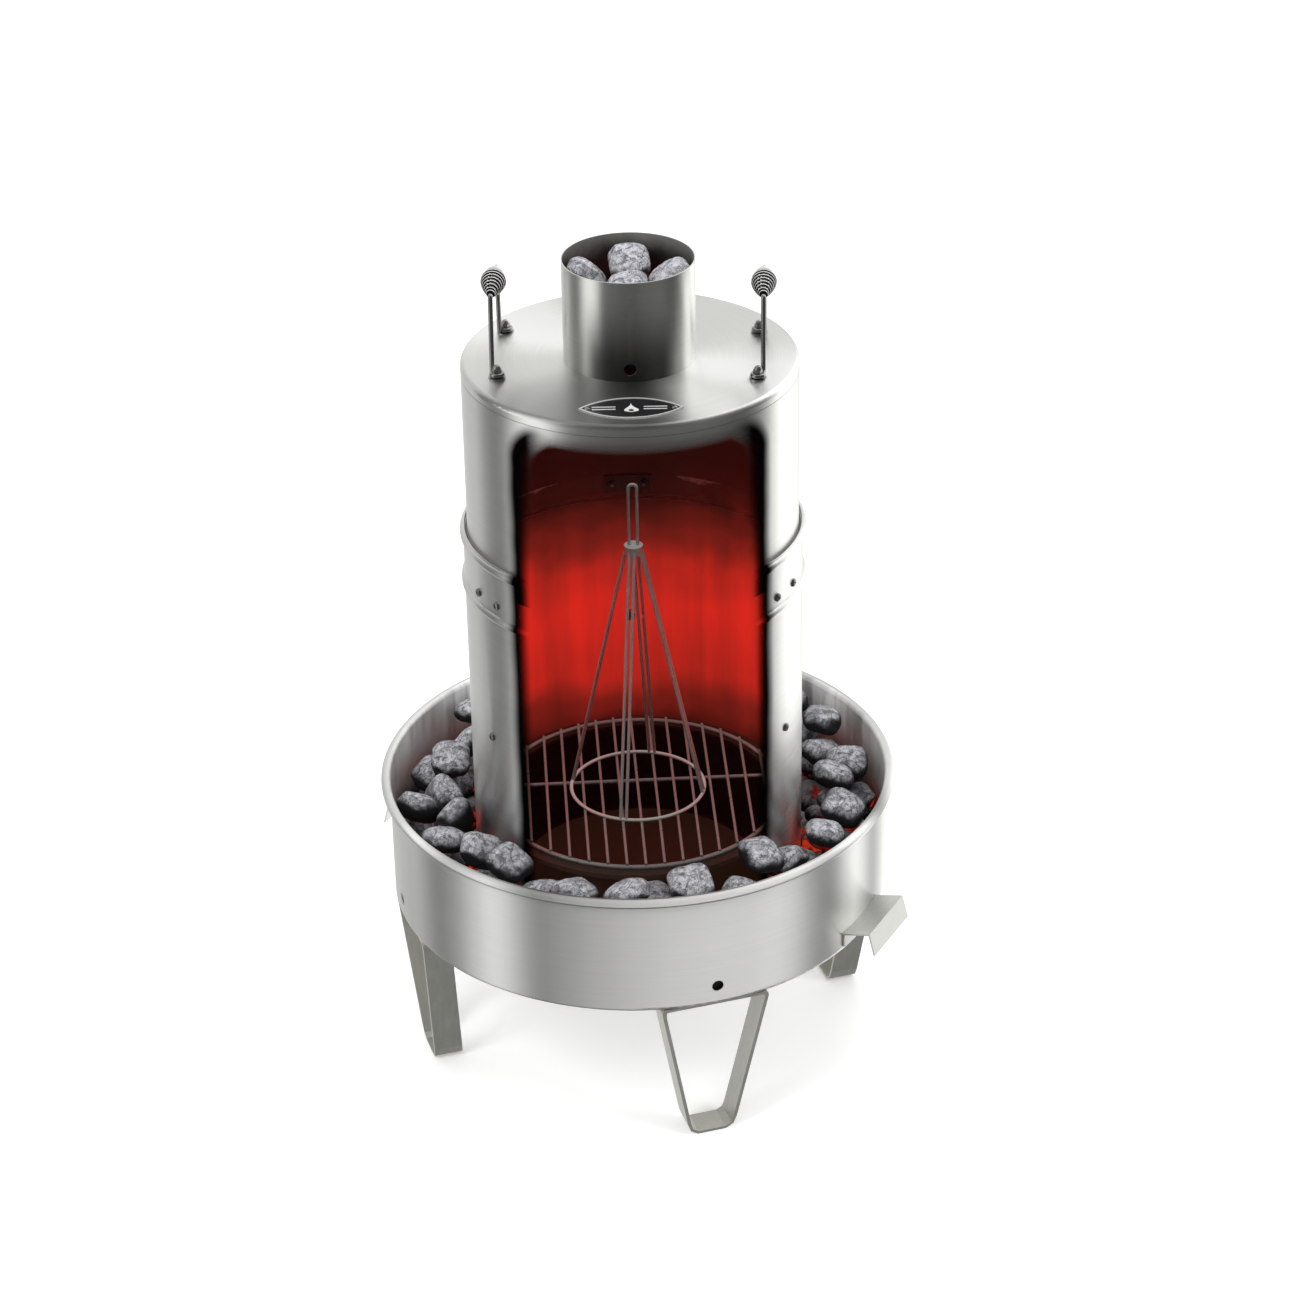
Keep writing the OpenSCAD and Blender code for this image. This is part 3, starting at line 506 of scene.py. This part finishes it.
def coil_material():
    """Bright wire with painted shade on the sides of its turns that face towards the middle of the
    coil.
    """
    mat, tree = material("coil_bright_wire")
    point = tree.point()
    x, y, z = point.split()
    normal_x, normal_y, normal_z = tree.signal("ShaderNodeNewGeometry", output="Normal").split()
    cos_turn, sin_turn = math.cos(-HANDLE_TURN), math.sin(-HANDLE_TURN)
    # position and normal in the handles' own turned frame
    grip_x = x * cos_turn - y * sin_turn
    grip_normal_x = normal_x * cos_turn - normal_y * sin_turn
    side = grip_x.sign()
    from_x = abs(grip_x) - HANDLE_X
    from_z = z - GRIP_Z
    radius = length(from_x, from_z).at_least(1e-4)
    outward = (from_x * grip_normal_x * side + from_z * normal_z) / radius
    lit = 0.02 + outward.fade(zero=0.40, one=0.97) * 0.98
    grain = tree.noise(point, scale=400.0, rough=0.6)
    tree.out(tree.principled(
        Base_Color=tree.scaled((0.86, 0.86, 0.84), lit * (0.9 + grain * 0.2)),
        Metallic=0.7, Roughness=0.2 + grain * 0.08, Specular_IOR_Level=lit * 0.5,
        Normal=tree.bump(grain, strength=0.08, distance=0.0002)))
    return mat


def plate_material():
    """Gloss black enamel inside a bright raised border."""
    mat, tree = material("nameplate_enamel")
    point = tree.point()
    z = point.split()[2]
    raised = z.fade(zero=LID_TOP + 0.00120, one=LID_TOP + 0.00145, smooth=False)
    above_edge = z.fade(zero=LID_TOP + 0.00100, one=LID_TOP + 0.00108, smooth=False)
    metal = raised.at_least(1.0 - above_edge)
    orange_peel = tree.noise(point, scale=900.0, detail=2.0)
    dust = tree.noise(point, scale=60.0, detail=4.0, rough=0.6)
    enamel = tree.mix(dust, (0.006, 0.006, 0.007), (0.02, 0.02, 0.022))
    tree.out(tree.principled(
        Base_Color=tree.mix(metal, enamel, (0.56, 0.56, 0.55)),
        Metallic=metal * 0.35, Roughness=0.22 + dust.swing(0.12),
        Coat_Weight=0.25, Coat_Roughness=0.1,
        Normal=tree.bump(orange_peel, strength=0.05, distance=0.0002)))
    return mat


MATERIALS = {
    "lid": brushed("lid_brushed_steel", (0.80, 0.80, 0.785), aniso=0.90, panel=True,
                   inner=dict(colour=(0.05, 0.022, 0.018), glow=chamber_glow)),
    "cap": brushed("lid_cap_brushed_steel", (0.82, 0.82, 0.805), shade=cap_shade),
    "chamber": brushed("chamber_brushed_steel", (0.80, 0.80, 0.785), aniso=0.90, panel=True,
                       inner=dict(colour=(0.06, 0.026, 0.02), soot=(0.556, 0.562),
                                  glow=shell_glow)),
    "cup": brushed("cup_brushed_steel", (0.78, 0.785, 0.755), rough=0.32, aniso=0.90,
                   shade=cup_shade, inner=dict(colour=(0.014, 0.014, 0.014), soot=(0.845, 0.90))),
    "pan": brushed("pan_brushed_steel", (0.80, 0.80, 0.79), rough=0.38, shade=pan_shade,
                   metal_of=pan_metal,
                   inner=dict(colour=(0.03, 0.03, 0.03), rough=0.45, soot=(0.214, 0.268),
                              glow=pan_sheen, clean_dark=0.1, clean_metal=0.35)),
    "leg": satin("leg_satin_steel", (0.60, 0.60, 0.555), rough=0.34, stretch=14.0, metallic=0.8),
    "bracket": satin("bracket_satin_steel", (0.68, 0.68, 0.65), rough=0.32, stretch=0.2,
                     metallic=0.85),
    "ledge": satin("ledge_smoked_steel", (0.10, 0.055, 0.045), rough=0.5, metallic=0.3),
    "screw": satin("screw_plated_steel", (0.30, 0.30, 0.30), rough=0.32, dirt=0.35),
    "nut": satin("nut_plated_steel", (0.42, 0.42, 0.41), rough=0.28, dirt=0.2),
    "wire": satin("handle_drawn_wire", (0.36, 0.36, 0.345), rough=0.16, stretch=20.0),
    "rack": satin("rack_nickel_wire", (0.36, 0.35, 0.335), rough=0.30, stretch=10.0,
                  metallic=0.6, dirt=0.3, lit=0.20),
    # the drip pan's emission is a painted red glow of the embers' light
    "drip": brushed("drip_pan_stained_steel", (0.075, 0.062, 0.054), rough=0.50, aniso=0.5,
                    metal_of=lambda tree, at: 0.4, painted_glow=((0.80, 0.30, 0.17), 0.014),
                    inner=dict(colour=(0.03, 0.022, 0.018))),
    "stand": satin("stand_bright_wire", (0.52, 0.51, 0.49), rough=0.24, stretch=10.0,
                   metallic=0.6, dirt=0.2, lit=0.42),
    "emblem": satin("emblem_polished", (0.80, 0.80, 0.78), rough=0.3, metallic=0.25),
    "plate": plate_material(),
    "pan_coal": coal("ash_covered_charcoal_pan", ash=0.52, hot=0.6, hot_z=(0.215, 0.275),
                     deep_z=0.236),
    "cup_coal": coal("ash_covered_charcoal_cup", ash=0.60, hot=0.75, hot_z=(0.83, 0.856),
                     deep_z=0.8325, floor_z=0.827),
    "coil": coil_material(),
    "pan_bed": bed("glowing_charcoal_pan", hot=0.38, span=(0.50, 0.62), dusty=0.85),
    "cup_bed": bed("glowing_charcoal_cup", hot=0.004, span=(0.45, 0.58), dusty=0.3),
}

# material: the CAD nodes that wear it
WORN_BY = {
    "pan": "fire_pan",
    "leg": "leg_front leg_right leg_rear leg_left",
    "bracket": "pan_handle_right pan_handle_left",
    "nut": "leg_rivets pan_handle_rivets chamber_bolts chamber_washers chamber_nuts"
           " rack_peg_right rack_peg_rear rack_peg_left"
           " handle_bolts handle_washers handle_nuts nameplate_rivets",
    "chamber": "chamber_shell",
    "ledge": "lid_rest_right lid_rest_rear lid_rest_left lid_rest_nuts",
    "screw": "lid_rest_screws rack_peg_screws",
    "pan_bed": "pan_ember_bed",
    "pan_coal": "pan_briquettes",
    "lid": "lid_wall",
    "cap": "lid_cap",
    "cup": "charcoal_cup",
    "cup_bed": "cup_ember_bed",
    "cup_coal": "cup_briquettes",
    "wire": "handle_wire_right handle_wire_left",
    "coil": "coil_grip_right coil_grip_left",
    "plate": "nameplate",
    "emblem": "nameplate_emblem",
    "drip": "drip_pan",
    "rack": "cooking_grate",
    "stand": "poultry_stand",
}
MATERIAL_OF = {node: MATERIALS[key] for key, nodes in WORN_BY.items() for node in nodes.split()}
for name, ob in NODES.items():
    if ob.material_slots:
        for slot in ob.material_slots:
            slot.material = MATERIAL_OF[name]
    else:
        ob.data.materials.append(MATERIAL_OF[name])


# ------------------------------------------------------------------ mesh tools
def piece(name, shape, mat, body, replaced, sharp=None):
    """A smooth-shaded object that stands in for a CAD node. Edges at or over the angle
    sharp, in radians, stay sharp."""
    verts, faces = shape
    mesh = bpy.data.meshes.new(name)
    mesh.from_pydata([tuple(map(float, v)) for v in verts], [],
                     [tuple(int(i) for i in face) for face in faces])
    mesh.update()
    ob = bpy.data.objects.new(name, mesh)
    scene.collection.objects.link(ob)
    mesh.materials.append(mat)
    mesh.polygons.foreach_set("use_smooth", [True] * len(mesh.polygons))
    if sharp is not None:
        bm = bmesh.new()
        bm.from_mesh(mesh)
        for edge in bm.edges:
            edge.smooth = len(edge.link_faces) == 2 and edge.calc_face_angle(0.0) < sharp
        bm.to_mesh(mesh)
        bm.free()
    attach(ob, body)
    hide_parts(replaced)


def merge(parts):
    """Joins (verts, faces) pairs."""
    all_verts, all_faces, count = [], [], 0
    for verts, faces in parts:
        all_verts.append(np.asarray(verts, float))
        all_faces += [tuple(int(i) + count for i in face) for face in faces]
        count += len(verts)
    return np.concatenate(all_verts), all_faces


def unit(v):
    return v / np.linalg.norm(v)


def rounded(points, radius, steps):
    """A polyline with its corners rounded."""
    out = [np.array(points[0], float)]
    for i in range(1, len(points) - 1):
        corner = np.array(points[i], float)
        back, ahead = unit(np.array(points[i - 1]) - corner), unit(np.array(points[i + 1]) - corner)
        half = math.acos(max(-1, min(1, float(back @ ahead)))) / 2
        cut = radius / math.tan(half)
        centre = corner + unit(back + ahead) * radius / math.sin(half)
        first, last = unit(corner + back * cut - centre), unit(corner + ahead * cut - centre)
        arc = math.acos(max(-1, min(1, float(first @ last))))
        side = unit(last - first * float(first @ last))
        for k in range(steps + 1):
            angle = arc * k / steps
            out.append(centre + radius * (first * math.cos(angle) + side * math.sin(angle)))
    return out + [np.array(points[-1], float)]


def tube_faces(rows, sides):
    return [(i * sides + k, i * sides + (k + 1) % sides,
             (i + 1) * sides + (k + 1) % sides, (i + 1) * sides + k)
            for i in range(rows - 1) for k in range(sides)]


def sweep(path, radius, sides, start):
    """A capped round wire along a path, its frame carried without twist from start."""
    points = [np.array(p, float) for p in path]
    count = len(points)
    across = np.array(start, float)
    verts = []
    for i in range(count):
        tangent = unit(points[min(i + 1, count - 1)] - points[max(i - 1, 0)])
        across = unit(across - tangent * float(across @ tangent))
        other = np.cross(tangent, across)
        for k in range(sides):
            angle = 2 * math.pi * k / sides
            verts.append(points[i] + radius * (across * math.cos(angle) + other * math.sin(angle)))
    faces = tube_faces(count, sides)
    faces.append(tuple(range(sides))[::-1])
    faces.append(tuple((count - 1) * sides + k for k in range(sides)))
    return np.array(verts), faces


# ------------------------------------------------------------------ charcoal
def islands(node):
    """The separate solids of a CAD node, as arrays of points."""
    bm = bmesh.new()
    bm.from_mesh(NODES[node].data)
    bmesh.ops.remove_doubles(bm, verts=bm.verts, dist=2e-6)
    bm.verts.ensure_lookup_table()
    seen, out = set(), []
    for first in bm.verts:
        if first.index in seen:
            continue
        todo, group = [first], []
        seen.add(first.index)
        while todo:
            vert = todo.pop()
            group.append(vert.co.copy())
            for edge in vert.link_edges:
                other = edge.other_vert(vert)
                if other.index not in seen:
                    seen.add(other.index)
                    todo.append(other)
        out.append(np.array([tuple(co) for co in group]))
    bm.free()
    return out


def pose_of(points):
    """(centre, rows of axes, half sizes) of a briquette from the points of its solid."""
    centred = points - points.mean(0)
    _, _, (long_axis, _, flat) = np.linalg.svd(centred, full_matrices=False)
    side = np.cross(flat, long_axis)
    best = None
    # the turn about the flat axis that gives the smallest rectangle
    for degrees in range(90):
        turn = math.radians(degrees)
        first = long_axis * math.cos(turn) + side * math.sin(turn)
        second = np.cross(flat, first)
        area = np.ptp(points @ first) * np.ptp(points @ second)
        if best is None or area < best[0]:
            best = (area, first, second)
    axes = np.array([best[1], best[2], flat])
    spans = [points @ axis for axis in (best[1], best[2], flat)]
    centre = sum(axis * (s.max() + s.min()) / 2 for axis, s in zip(axes, spans))
    return centre, axes, tuple(np.ptp(s) / 2 for s in spans)


@lru_cache
def ball(level):
    bm = bmesh.new()
    bmesh.ops.create_icosphere(bm, subdivisions=level, radius=1.0)
    bm.verts.ensure_lookup_table()
    verts = np.array([tuple(v.co) for v in bm.verts])
    faces = [tuple(v.index for v in face.verts) for face in bm.faces]
    bm.free()
    return verts, faces


PLAN_POWER, SIDE_POWER = 3.6, 2.25  # squareness seen from above and from the side
GRAIN = ((0.9, 70), (0.55, 170), (0.3, 420))  # (weight, frequency) of the rough surface


def pillow(centre, axes, half, seed, level=4):
    """A charcoal briquette: a square pillow with a seam round its edge, worn and chipped."""
    rng = random.Random(seed)
    sphere, faces = ball(level)
    a, b, c = half
    plan = np.abs(sphere[:, 0] / a) ** PLAN_POWER + np.abs(sphere[:, 1] / b) ** PLAN_POWER
    plan = plan ** (SIDE_POWER / PLAN_POWER)
    rho = (plan + np.abs(sphere[:, 2] / c) ** SIDE_POWER) ** (-1 / SIDE_POWER)
    verts = sphere * rho[:, None]
    seam = np.exp(-((verts[:, 2] / 0.0016) ** 2))
    verts[:, :2] *= (1 + 0.018 * seam)[:, None]
    offset = Vector((rng.uniform(-50, 50), rng.uniform(-50, 50), rng.uniform(-50, 50)))
    # up to two chipped corners
    for _ in range(rng.choice((0, 1, 1, 2))):
        towards = unit(np.array([rng.choice((-1, 1)) * a * rng.uniform(0.6, 1),
                                 rng.choice((-1, 1)) * b * rng.uniform(0.6, 1),
                                 rng.uniform(-1, 1) * c]))
        keep = rng.uniform(0.80, 0.93)
        reach = (verts @ towards).max()
        over = np.maximum((verts @ towards) - reach * keep, 0)
        verts -= over[:, None] * towards * 0.9
    relief = np.array([sum(weight * noise.noise(Vector(v) * frequency + offset)
                           for weight, frequency in GRAIN) for v in verts])
    verts = verts * 0.985 + sphere * (relief * 0.001)[:, None]
    return verts @ np.asarray(axes) + centre, faces


for place, body, seed in (("pan", "base", 100), ("cup", "lid", 300)):
    parts = [pillow(*pose_of(points), seed + i)
             for i, points in enumerate(islands(f"{place}_briquettes"))]
    piece(f"{place}_briquettes_worn", merge(parts), MATERIALS[f"{place}_coal"], body,
          f"{place}_briquettes")


def lumpy_ring(inner_r, outer_r, foot, top, rings, turns, seed):
    """A heap's closed mass with an uneven top, between two radii."""
    rows = [(inner_r, foot)]
    rows += [(inner_r + (outer_r - inner_r) * k / rings, None) for k in range(rings + 1)]
    rows.append((outer_r, foot))
    verts, count = [], len(rows)
    for j in range(turns):
        angle = 2 * math.pi * j / turns
        for radius, z in rows:
            x, y = radius * math.cos(angle), radius * math.sin(angle)
            if z is None:
                height = (noise.noise(Vector((x * 42, y * 42, seed))) * 0.006
                          + noise.noise(Vector((x * 110, y * 110, seed + 5))) * 0.0035)
                z = top - 0.0055 + height
            verts.append((x, y, z))
    faces = [(j * count + k, (j + 1) % turns * count + k,
              (j + 1) % turns * count + (k + 1) % count, j * count + (k + 1) % count)
             for j in range(turns) for k in range(count)]
    return np.array(verts), faces


LUMP_HALF = (0.0235, 0.021)  # half length and half width of a full-size lump
HEAP_R = 0.2535


def lump(angle, radius, z, turn, size, half_height, seed):
    centre = np.array([radius * math.cos(angle), radius * math.sin(angle), z])
    half = (LUMP_HALF[0] * size, LUMP_HALF[1] * size, half_height * size)
    return pillow(centre, np.array(turn.transposed()), half, seed, level=3)


def tilt(rng, limit, axis):
    return Matrix.Rotation(rng.uniform(-limit, limit), 3, axis)


rng = random.Random(11)
parts = [lumpy_ring(0.1722, HEAP_R, foot=0.1745, top=0.2215, rings=18, turns=420, seed=1.0)]
for i in range(150):
    angle, radius = rng.uniform(0, 2 * math.pi), rng.uniform(0.182, 0.244)
    turn = Matrix.Rotation(rng.uniform(0, 6.28), 3, "Z") @ tilt(rng, 0.5, "X") @ tilt(rng, 0.4, "Y")
    size = rng.uniform(0.78, 1.0)
    margin = 0.0225 * size
    radius = min(max(radius, 0.1725 + margin), HEAP_R - margin)
    parts.append(lump(angle, radius, rng.uniform(0.213, 0.2275), turn, size, 0.0135, 500 + i))
piece("pan_ember_heap", merge(parts), MATERIALS["pan_bed"], "base", "pan_ember_bed")

parts = [lumpy_ring(0.0005, 0.0628, foot=0.7712, top=0.7795, rings=12, turns=120, seed=3.0)]
for i in range(8):
    angle, radius = rng.uniform(0, 2 * math.pi), rng.uniform(0.0, 0.038)
    turn = Matrix.Rotation(rng.uniform(0, 6.28), 3, "Z") @ tilt(rng, 0.5, "X")
    size = rng.uniform(0.6, 0.85)
    parts.append(lump(angle, radius, 0.7785, turn, size, 0.0075, 700 + i))
piece("cup_ember_heap", merge(parts), MATERIALS["cup_bed"], "lid", "cup_ember_bed")

# ------------------------------------------------------------------ handles
SHEET, WIRE_R, COIL_R = 0.0012, 0.0024, 0.0011
EYE_Y = 0.055  # from the handle's middle to each eye
EYE_R = 0.0052
GRIP_HALF = 0.034
FOOT_Z = LID_TOP + SHEET + WIRE_R
BEND_R = 0.0032
COIL_TURNS, COIL_STEPS = 14, 56
COIL_END_R = WIRE_R + 0.00006 + COIL_R + 0.00002
COIL_MID_R = 0.0116


def handle_path():
    """The right handle before its turn: an eye, a leg, the grip, and the same mirrored in y."""
    half = []
    for degrees in range(-292, -19, 8):
        angle = math.radians(degrees)
        half.append(np.array((HANDLE_X - EYE_R + EYE_R * math.cos(angle),
                              -EYE_Y + EYE_R * math.sin(angle), FOOT_Z)))
    half += rounded([(HANDLE_X, -EYE_Y - 0.0017, FOOT_Z), (HANDLE_X, -EYE_Y + 0.0075, FOOT_Z),
                     (HANDLE_X, -GRIP_HALF - 0.005, GRIP_Z), (HANDLE_X, 0, GRIP_Z)],
                    BEND_R, 10)[1:-1]
    return half + [np.array([x, -y, z]) for x, y, z in reversed(half)]


def coil_path(sign):
    """A helix round the grip, narrow at its ends and wide in its middle."""
    count = COIL_TURNS * COIL_STEPS
    line = []
    for i in range(count + 1):
        along = i / count
        bulge = 1 - abs(2 * max(0.0, min(1.0, (along - 0.05) / 0.9)) - 1) ** 1.35
        radius = COIL_END_R + (COIL_MID_R - COIL_END_R) * bulge
        angle = 2 * math.pi * i / COIL_STEPS
        line.append((sign * HANDLE_X + radius * math.cos(angle),
                     -GRIP_HALF + COIL_R + (2 * GRIP_HALF - 2 * COIL_R) * along,
                     GRIP_Z + radius * math.sin(angle)))
    return line


def handle_part(name, shape, key):
    cos_turn, sin_turn = math.cos(HANDLE_TURN), math.sin(HANDLE_TURN)
    spin = np.array([[cos_turn, -sin_turn, 0], [sin_turn, cos_turn, 0], [0, 0, 1]])
    piece(f"{name}_smooth", (shape[0] @ spin.T, shape[1]), MATERIALS[key], "lid", name,
          sharp=1.0)


for side, sign in (("right", 1), ("left", -1)):
    path = [(sign * x, y, z) for x, y, z in handle_path()]
    handle_part(f"handle_wire_{side}", sweep(path, WIRE_R, 20, (0, 0, 1)), "wire")
    handle_part(f"coil_grip_{side}", sweep(coil_path(sign), COIL_R, 12, (1, 0, 0)), "coil")

# ------------------------------------------------------------------ screws
HEAD_R, HEAD_H = 0.0043, 0.0028
SHANK_R, SHANK_L = 0.002, 0.0082
HEAD_RINGS, HEAD_TURNS = 26, 72
SEAT_R = 0.17045  # from the chamber's axis to the heads' flat backs
FIRST_SCREW = -28.5  # degrees from +x


def around(degrees, radius, z):
    angle = math.radians(degrees)
    return np.array([radius * math.cos(angle), radius * math.sin(angle), z])


def head_height(ring, radius, u, v):
    """Height of the domed head with its cross recess, at u, v in its plane."""
    if ring > HEAD_RINGS - 3:
        return HEAD_H * 0.3 * (HEAD_RINGS - ring) / 3
    part = radius / HEAD_R
    shoulder = math.sqrt(max(0.0, 1 - max(0.0, (part - 0.78) / 0.22) ** 2 * 0.8))
    arm = 0.13 * HEAD_R * (1 - 0.25 * radius / HEAD_R)
    inside = min(1.0, max(0.0, (0.60 * HEAD_R - radius) / (0.07 * HEAD_R)))
    slots = [min(1.0, max(0.0, (arm - abs(w)) / (0.05 * HEAD_R))) for w in (u, v)]
    return HEAD_H * (1 - 0.30 * part * part) * shoulder - HEAD_H * 0.62 * inside * max(slots)


def screw(degrees, z, spin):
    """A pan-head screw in the chamber wall, facing outwards."""
    origin = around(degrees, SEAT_R, z)
    out = unit(around(degrees, 1, 0))
    x = unit(np.cross(out, [0, 0, 1.0]))
    y = np.cross(out, x)
    x, y = x * math.cos(spin) + y * math.sin(spin), y * math.cos(spin) - x * math.sin(spin)
    verts = []
    for i in range(HEAD_RINGS + 1):
        radius = HEAD_R * min(1.0, i / (HEAD_RINGS - 3))
        for k in range(HEAD_TURNS):
            angle = 2 * math.pi * k / HEAD_TURNS
            u, v = radius * math.cos(angle), radius * math.sin(angle)
            verts.append(origin + x * u + y * v + out * head_height(i, radius, u, v))
    faces = [face[::-1] for face in tube_faces(HEAD_RINGS + 1, HEAD_TURNS)]
    faces.append(tuple(HEAD_RINGS * HEAD_TURNS + k for k in range(HEAD_TURNS)))
    shank = sweep([origin + out * 0.0001, origin - out * SHANK_L], SHANK_R, 28, x)
    return merge([(np.array(verts), faces), shank])


rng = random.Random(5)
# name, height, degrees to each side of the three stations
for name, z, offsets in (("lid_rest_screws", 0.549, (-5.9, 5.9)), ("rack_peg_screws", 0.393, (0,))):
    parts = [screw(FIRST_SCREW + 120 * k + offset, z, rng.uniform(0, 1.5))
             for k in range(3) for offset in offsets]
    piece(f"{name}_cross", merge(parts), MATERIALS["screw"], "base", name, sharp=0.9)


# ------------------------------------------------------------------ stage
def floor_material():
    mat, tree = material("stage_floor")
    cloud = tree.noise(tree.point(), scale=3.0)
    tree.out(tree.principled(
        Base_Color=tree.mix(cloud, (0.93, 0.93, 0.93), (0.95, 0.95, 0.95)),
        Roughness=0.9, Specular_IOR_Level=0.0,
        Emission_Color=(1.0, 1.0, 1.0), Emission_Strength=0.22))
    return mat


floor_mat = floor_material()
bpy.ops.mesh.primitive_plane_add(size=40.0, location=(0, 0, -0.0004))
floor = bpy.context.object
floor.name = "floor"
floor.data.materials.append(floor_mat)
floor.visible_glossy = False

# (degrees from the front, display grey on a 255 scale) of the bands that metal mirrors
BANDS = [
    (-180, 205), (-158, 196), (-140, 168), (-127, 184), (-118, 120), (-108, 106), (-98, 104),
    (-89, 165), (-80, 226), (-66, 230), (-57, 205), (-51, 150), (-45, 96), (-34, 90), (-8, 78),
    (10, 76), (60, 82), (79, 60), (91, 66), (99, 92), (106, 160), (113, 245), (122, 262),
    (141, 258), (152, 232), (165, 208), (180, 205)]
BAND_PEAK = 1.25  # linear level that fills the ramp
BAND_GAIN = 1.75


def build_world():
    """White to the camera, soft white to diffuse rays, upright bands to glossy rays."""
    world = bpy.data.worlds.new("studio")
    scene.world = world
    world.use_nodes = True
    tree = Tree(world.node_tree)

    def background(colour, strength):
        return tree.signal("ShaderNodeBackground", {0: colour, 1: strength})

    x, y, _ = tree.signal("ShaderNodeTexCoord", output="Generated").split()
    stops = [(degrees, (grey / 255.0) ** 2.2) for degrees, grey in BANDS]
    level = angle_ramp(bearing(x, y), stops, BAND_PEAK) * BAND_GAIN
    glossy_ray, camera_ray = tree.signals("ShaderNodeLightPath",
                                          ("Is Glossy Ray", "Is Camera Ray"))
    seen = background((1, 1, 1), 1.0)
    soft = background((1.0, 0.995, 0.985), 0.85)
    mirrored = background(tree.mix(1.0, (1.0, 1.0, 0.985), level, "MULTIPLY"), 1.0)
    shader = tree.blend(camera_ray, tree.blend(glossy_ray, soft, mirrored), seen)
    tree.node("ShaderNodeOutputWorld", {0: shader})


def add_light(name, at, target, size, power):
    data = bpy.data.lights.new(name, "AREA")
    data.shape = "DISK"
    data.size = size
    data.energy = power
    light = bpy.data.objects.new(name, data)
    scene.collection.objects.link(light)
    light.location = at
    light.rotation_mode = "QUATERNION"
    light.rotation_quaternion = (Vector(target) - Vector(at)).to_track_quat("-Z", "Y")
    light.visible_glossy = False
    light.visible_camera = False


def add_camera(place, yaw, pitch, roll, lens):
    """Angles in radians: yaw from +y towards +x, pitch downwards."""
    ahead = Vector((math.sin(yaw) * math.cos(pitch), math.cos(yaw) * math.cos(pitch),
                    -math.sin(pitch)))
    right = Vector((math.cos(yaw), -math.sin(yaw), 0))
    up = right.cross(ahead)
    rolled_right = math.cos(roll) * right + math.sin(roll) * up
    rolled_up = -math.sin(roll) * right + math.cos(roll) * up
    camera = bpy.data.objects.new("camera", bpy.data.cameras.new("camera"))
    scene.collection.objects.link(camera)
    pose = Matrix((rolled_right, rolled_up, -ahead)).transposed().to_4x4()
    pose.translation = Vector(place)
    camera.matrix_world = pose
    camera.data.lens = lens
    camera.data.sensor_width = 36
    camera.data.clip_start, camera.data.clip_end = 0.1, 100
    scene.camera = camera


build_world()
add_light("key", at=(-2.2, -2.4, 3.4), target=(0, 0, 0.4), size=1.6, power=60)
add_light("fill", at=(2.8, -1.6, 2.6), target=(0, 0, 0.4), size=2.0, power=34)
add_light("top", at=(0.2, 0.8, 3.6), target=(0, 0, 0.3), size=2.4, power=40)
add_camera((-0.003835, -3.13084, 2.15429), yaw=0.0068, pitch=0.5017, roll=-0.0164, lens=96.27)
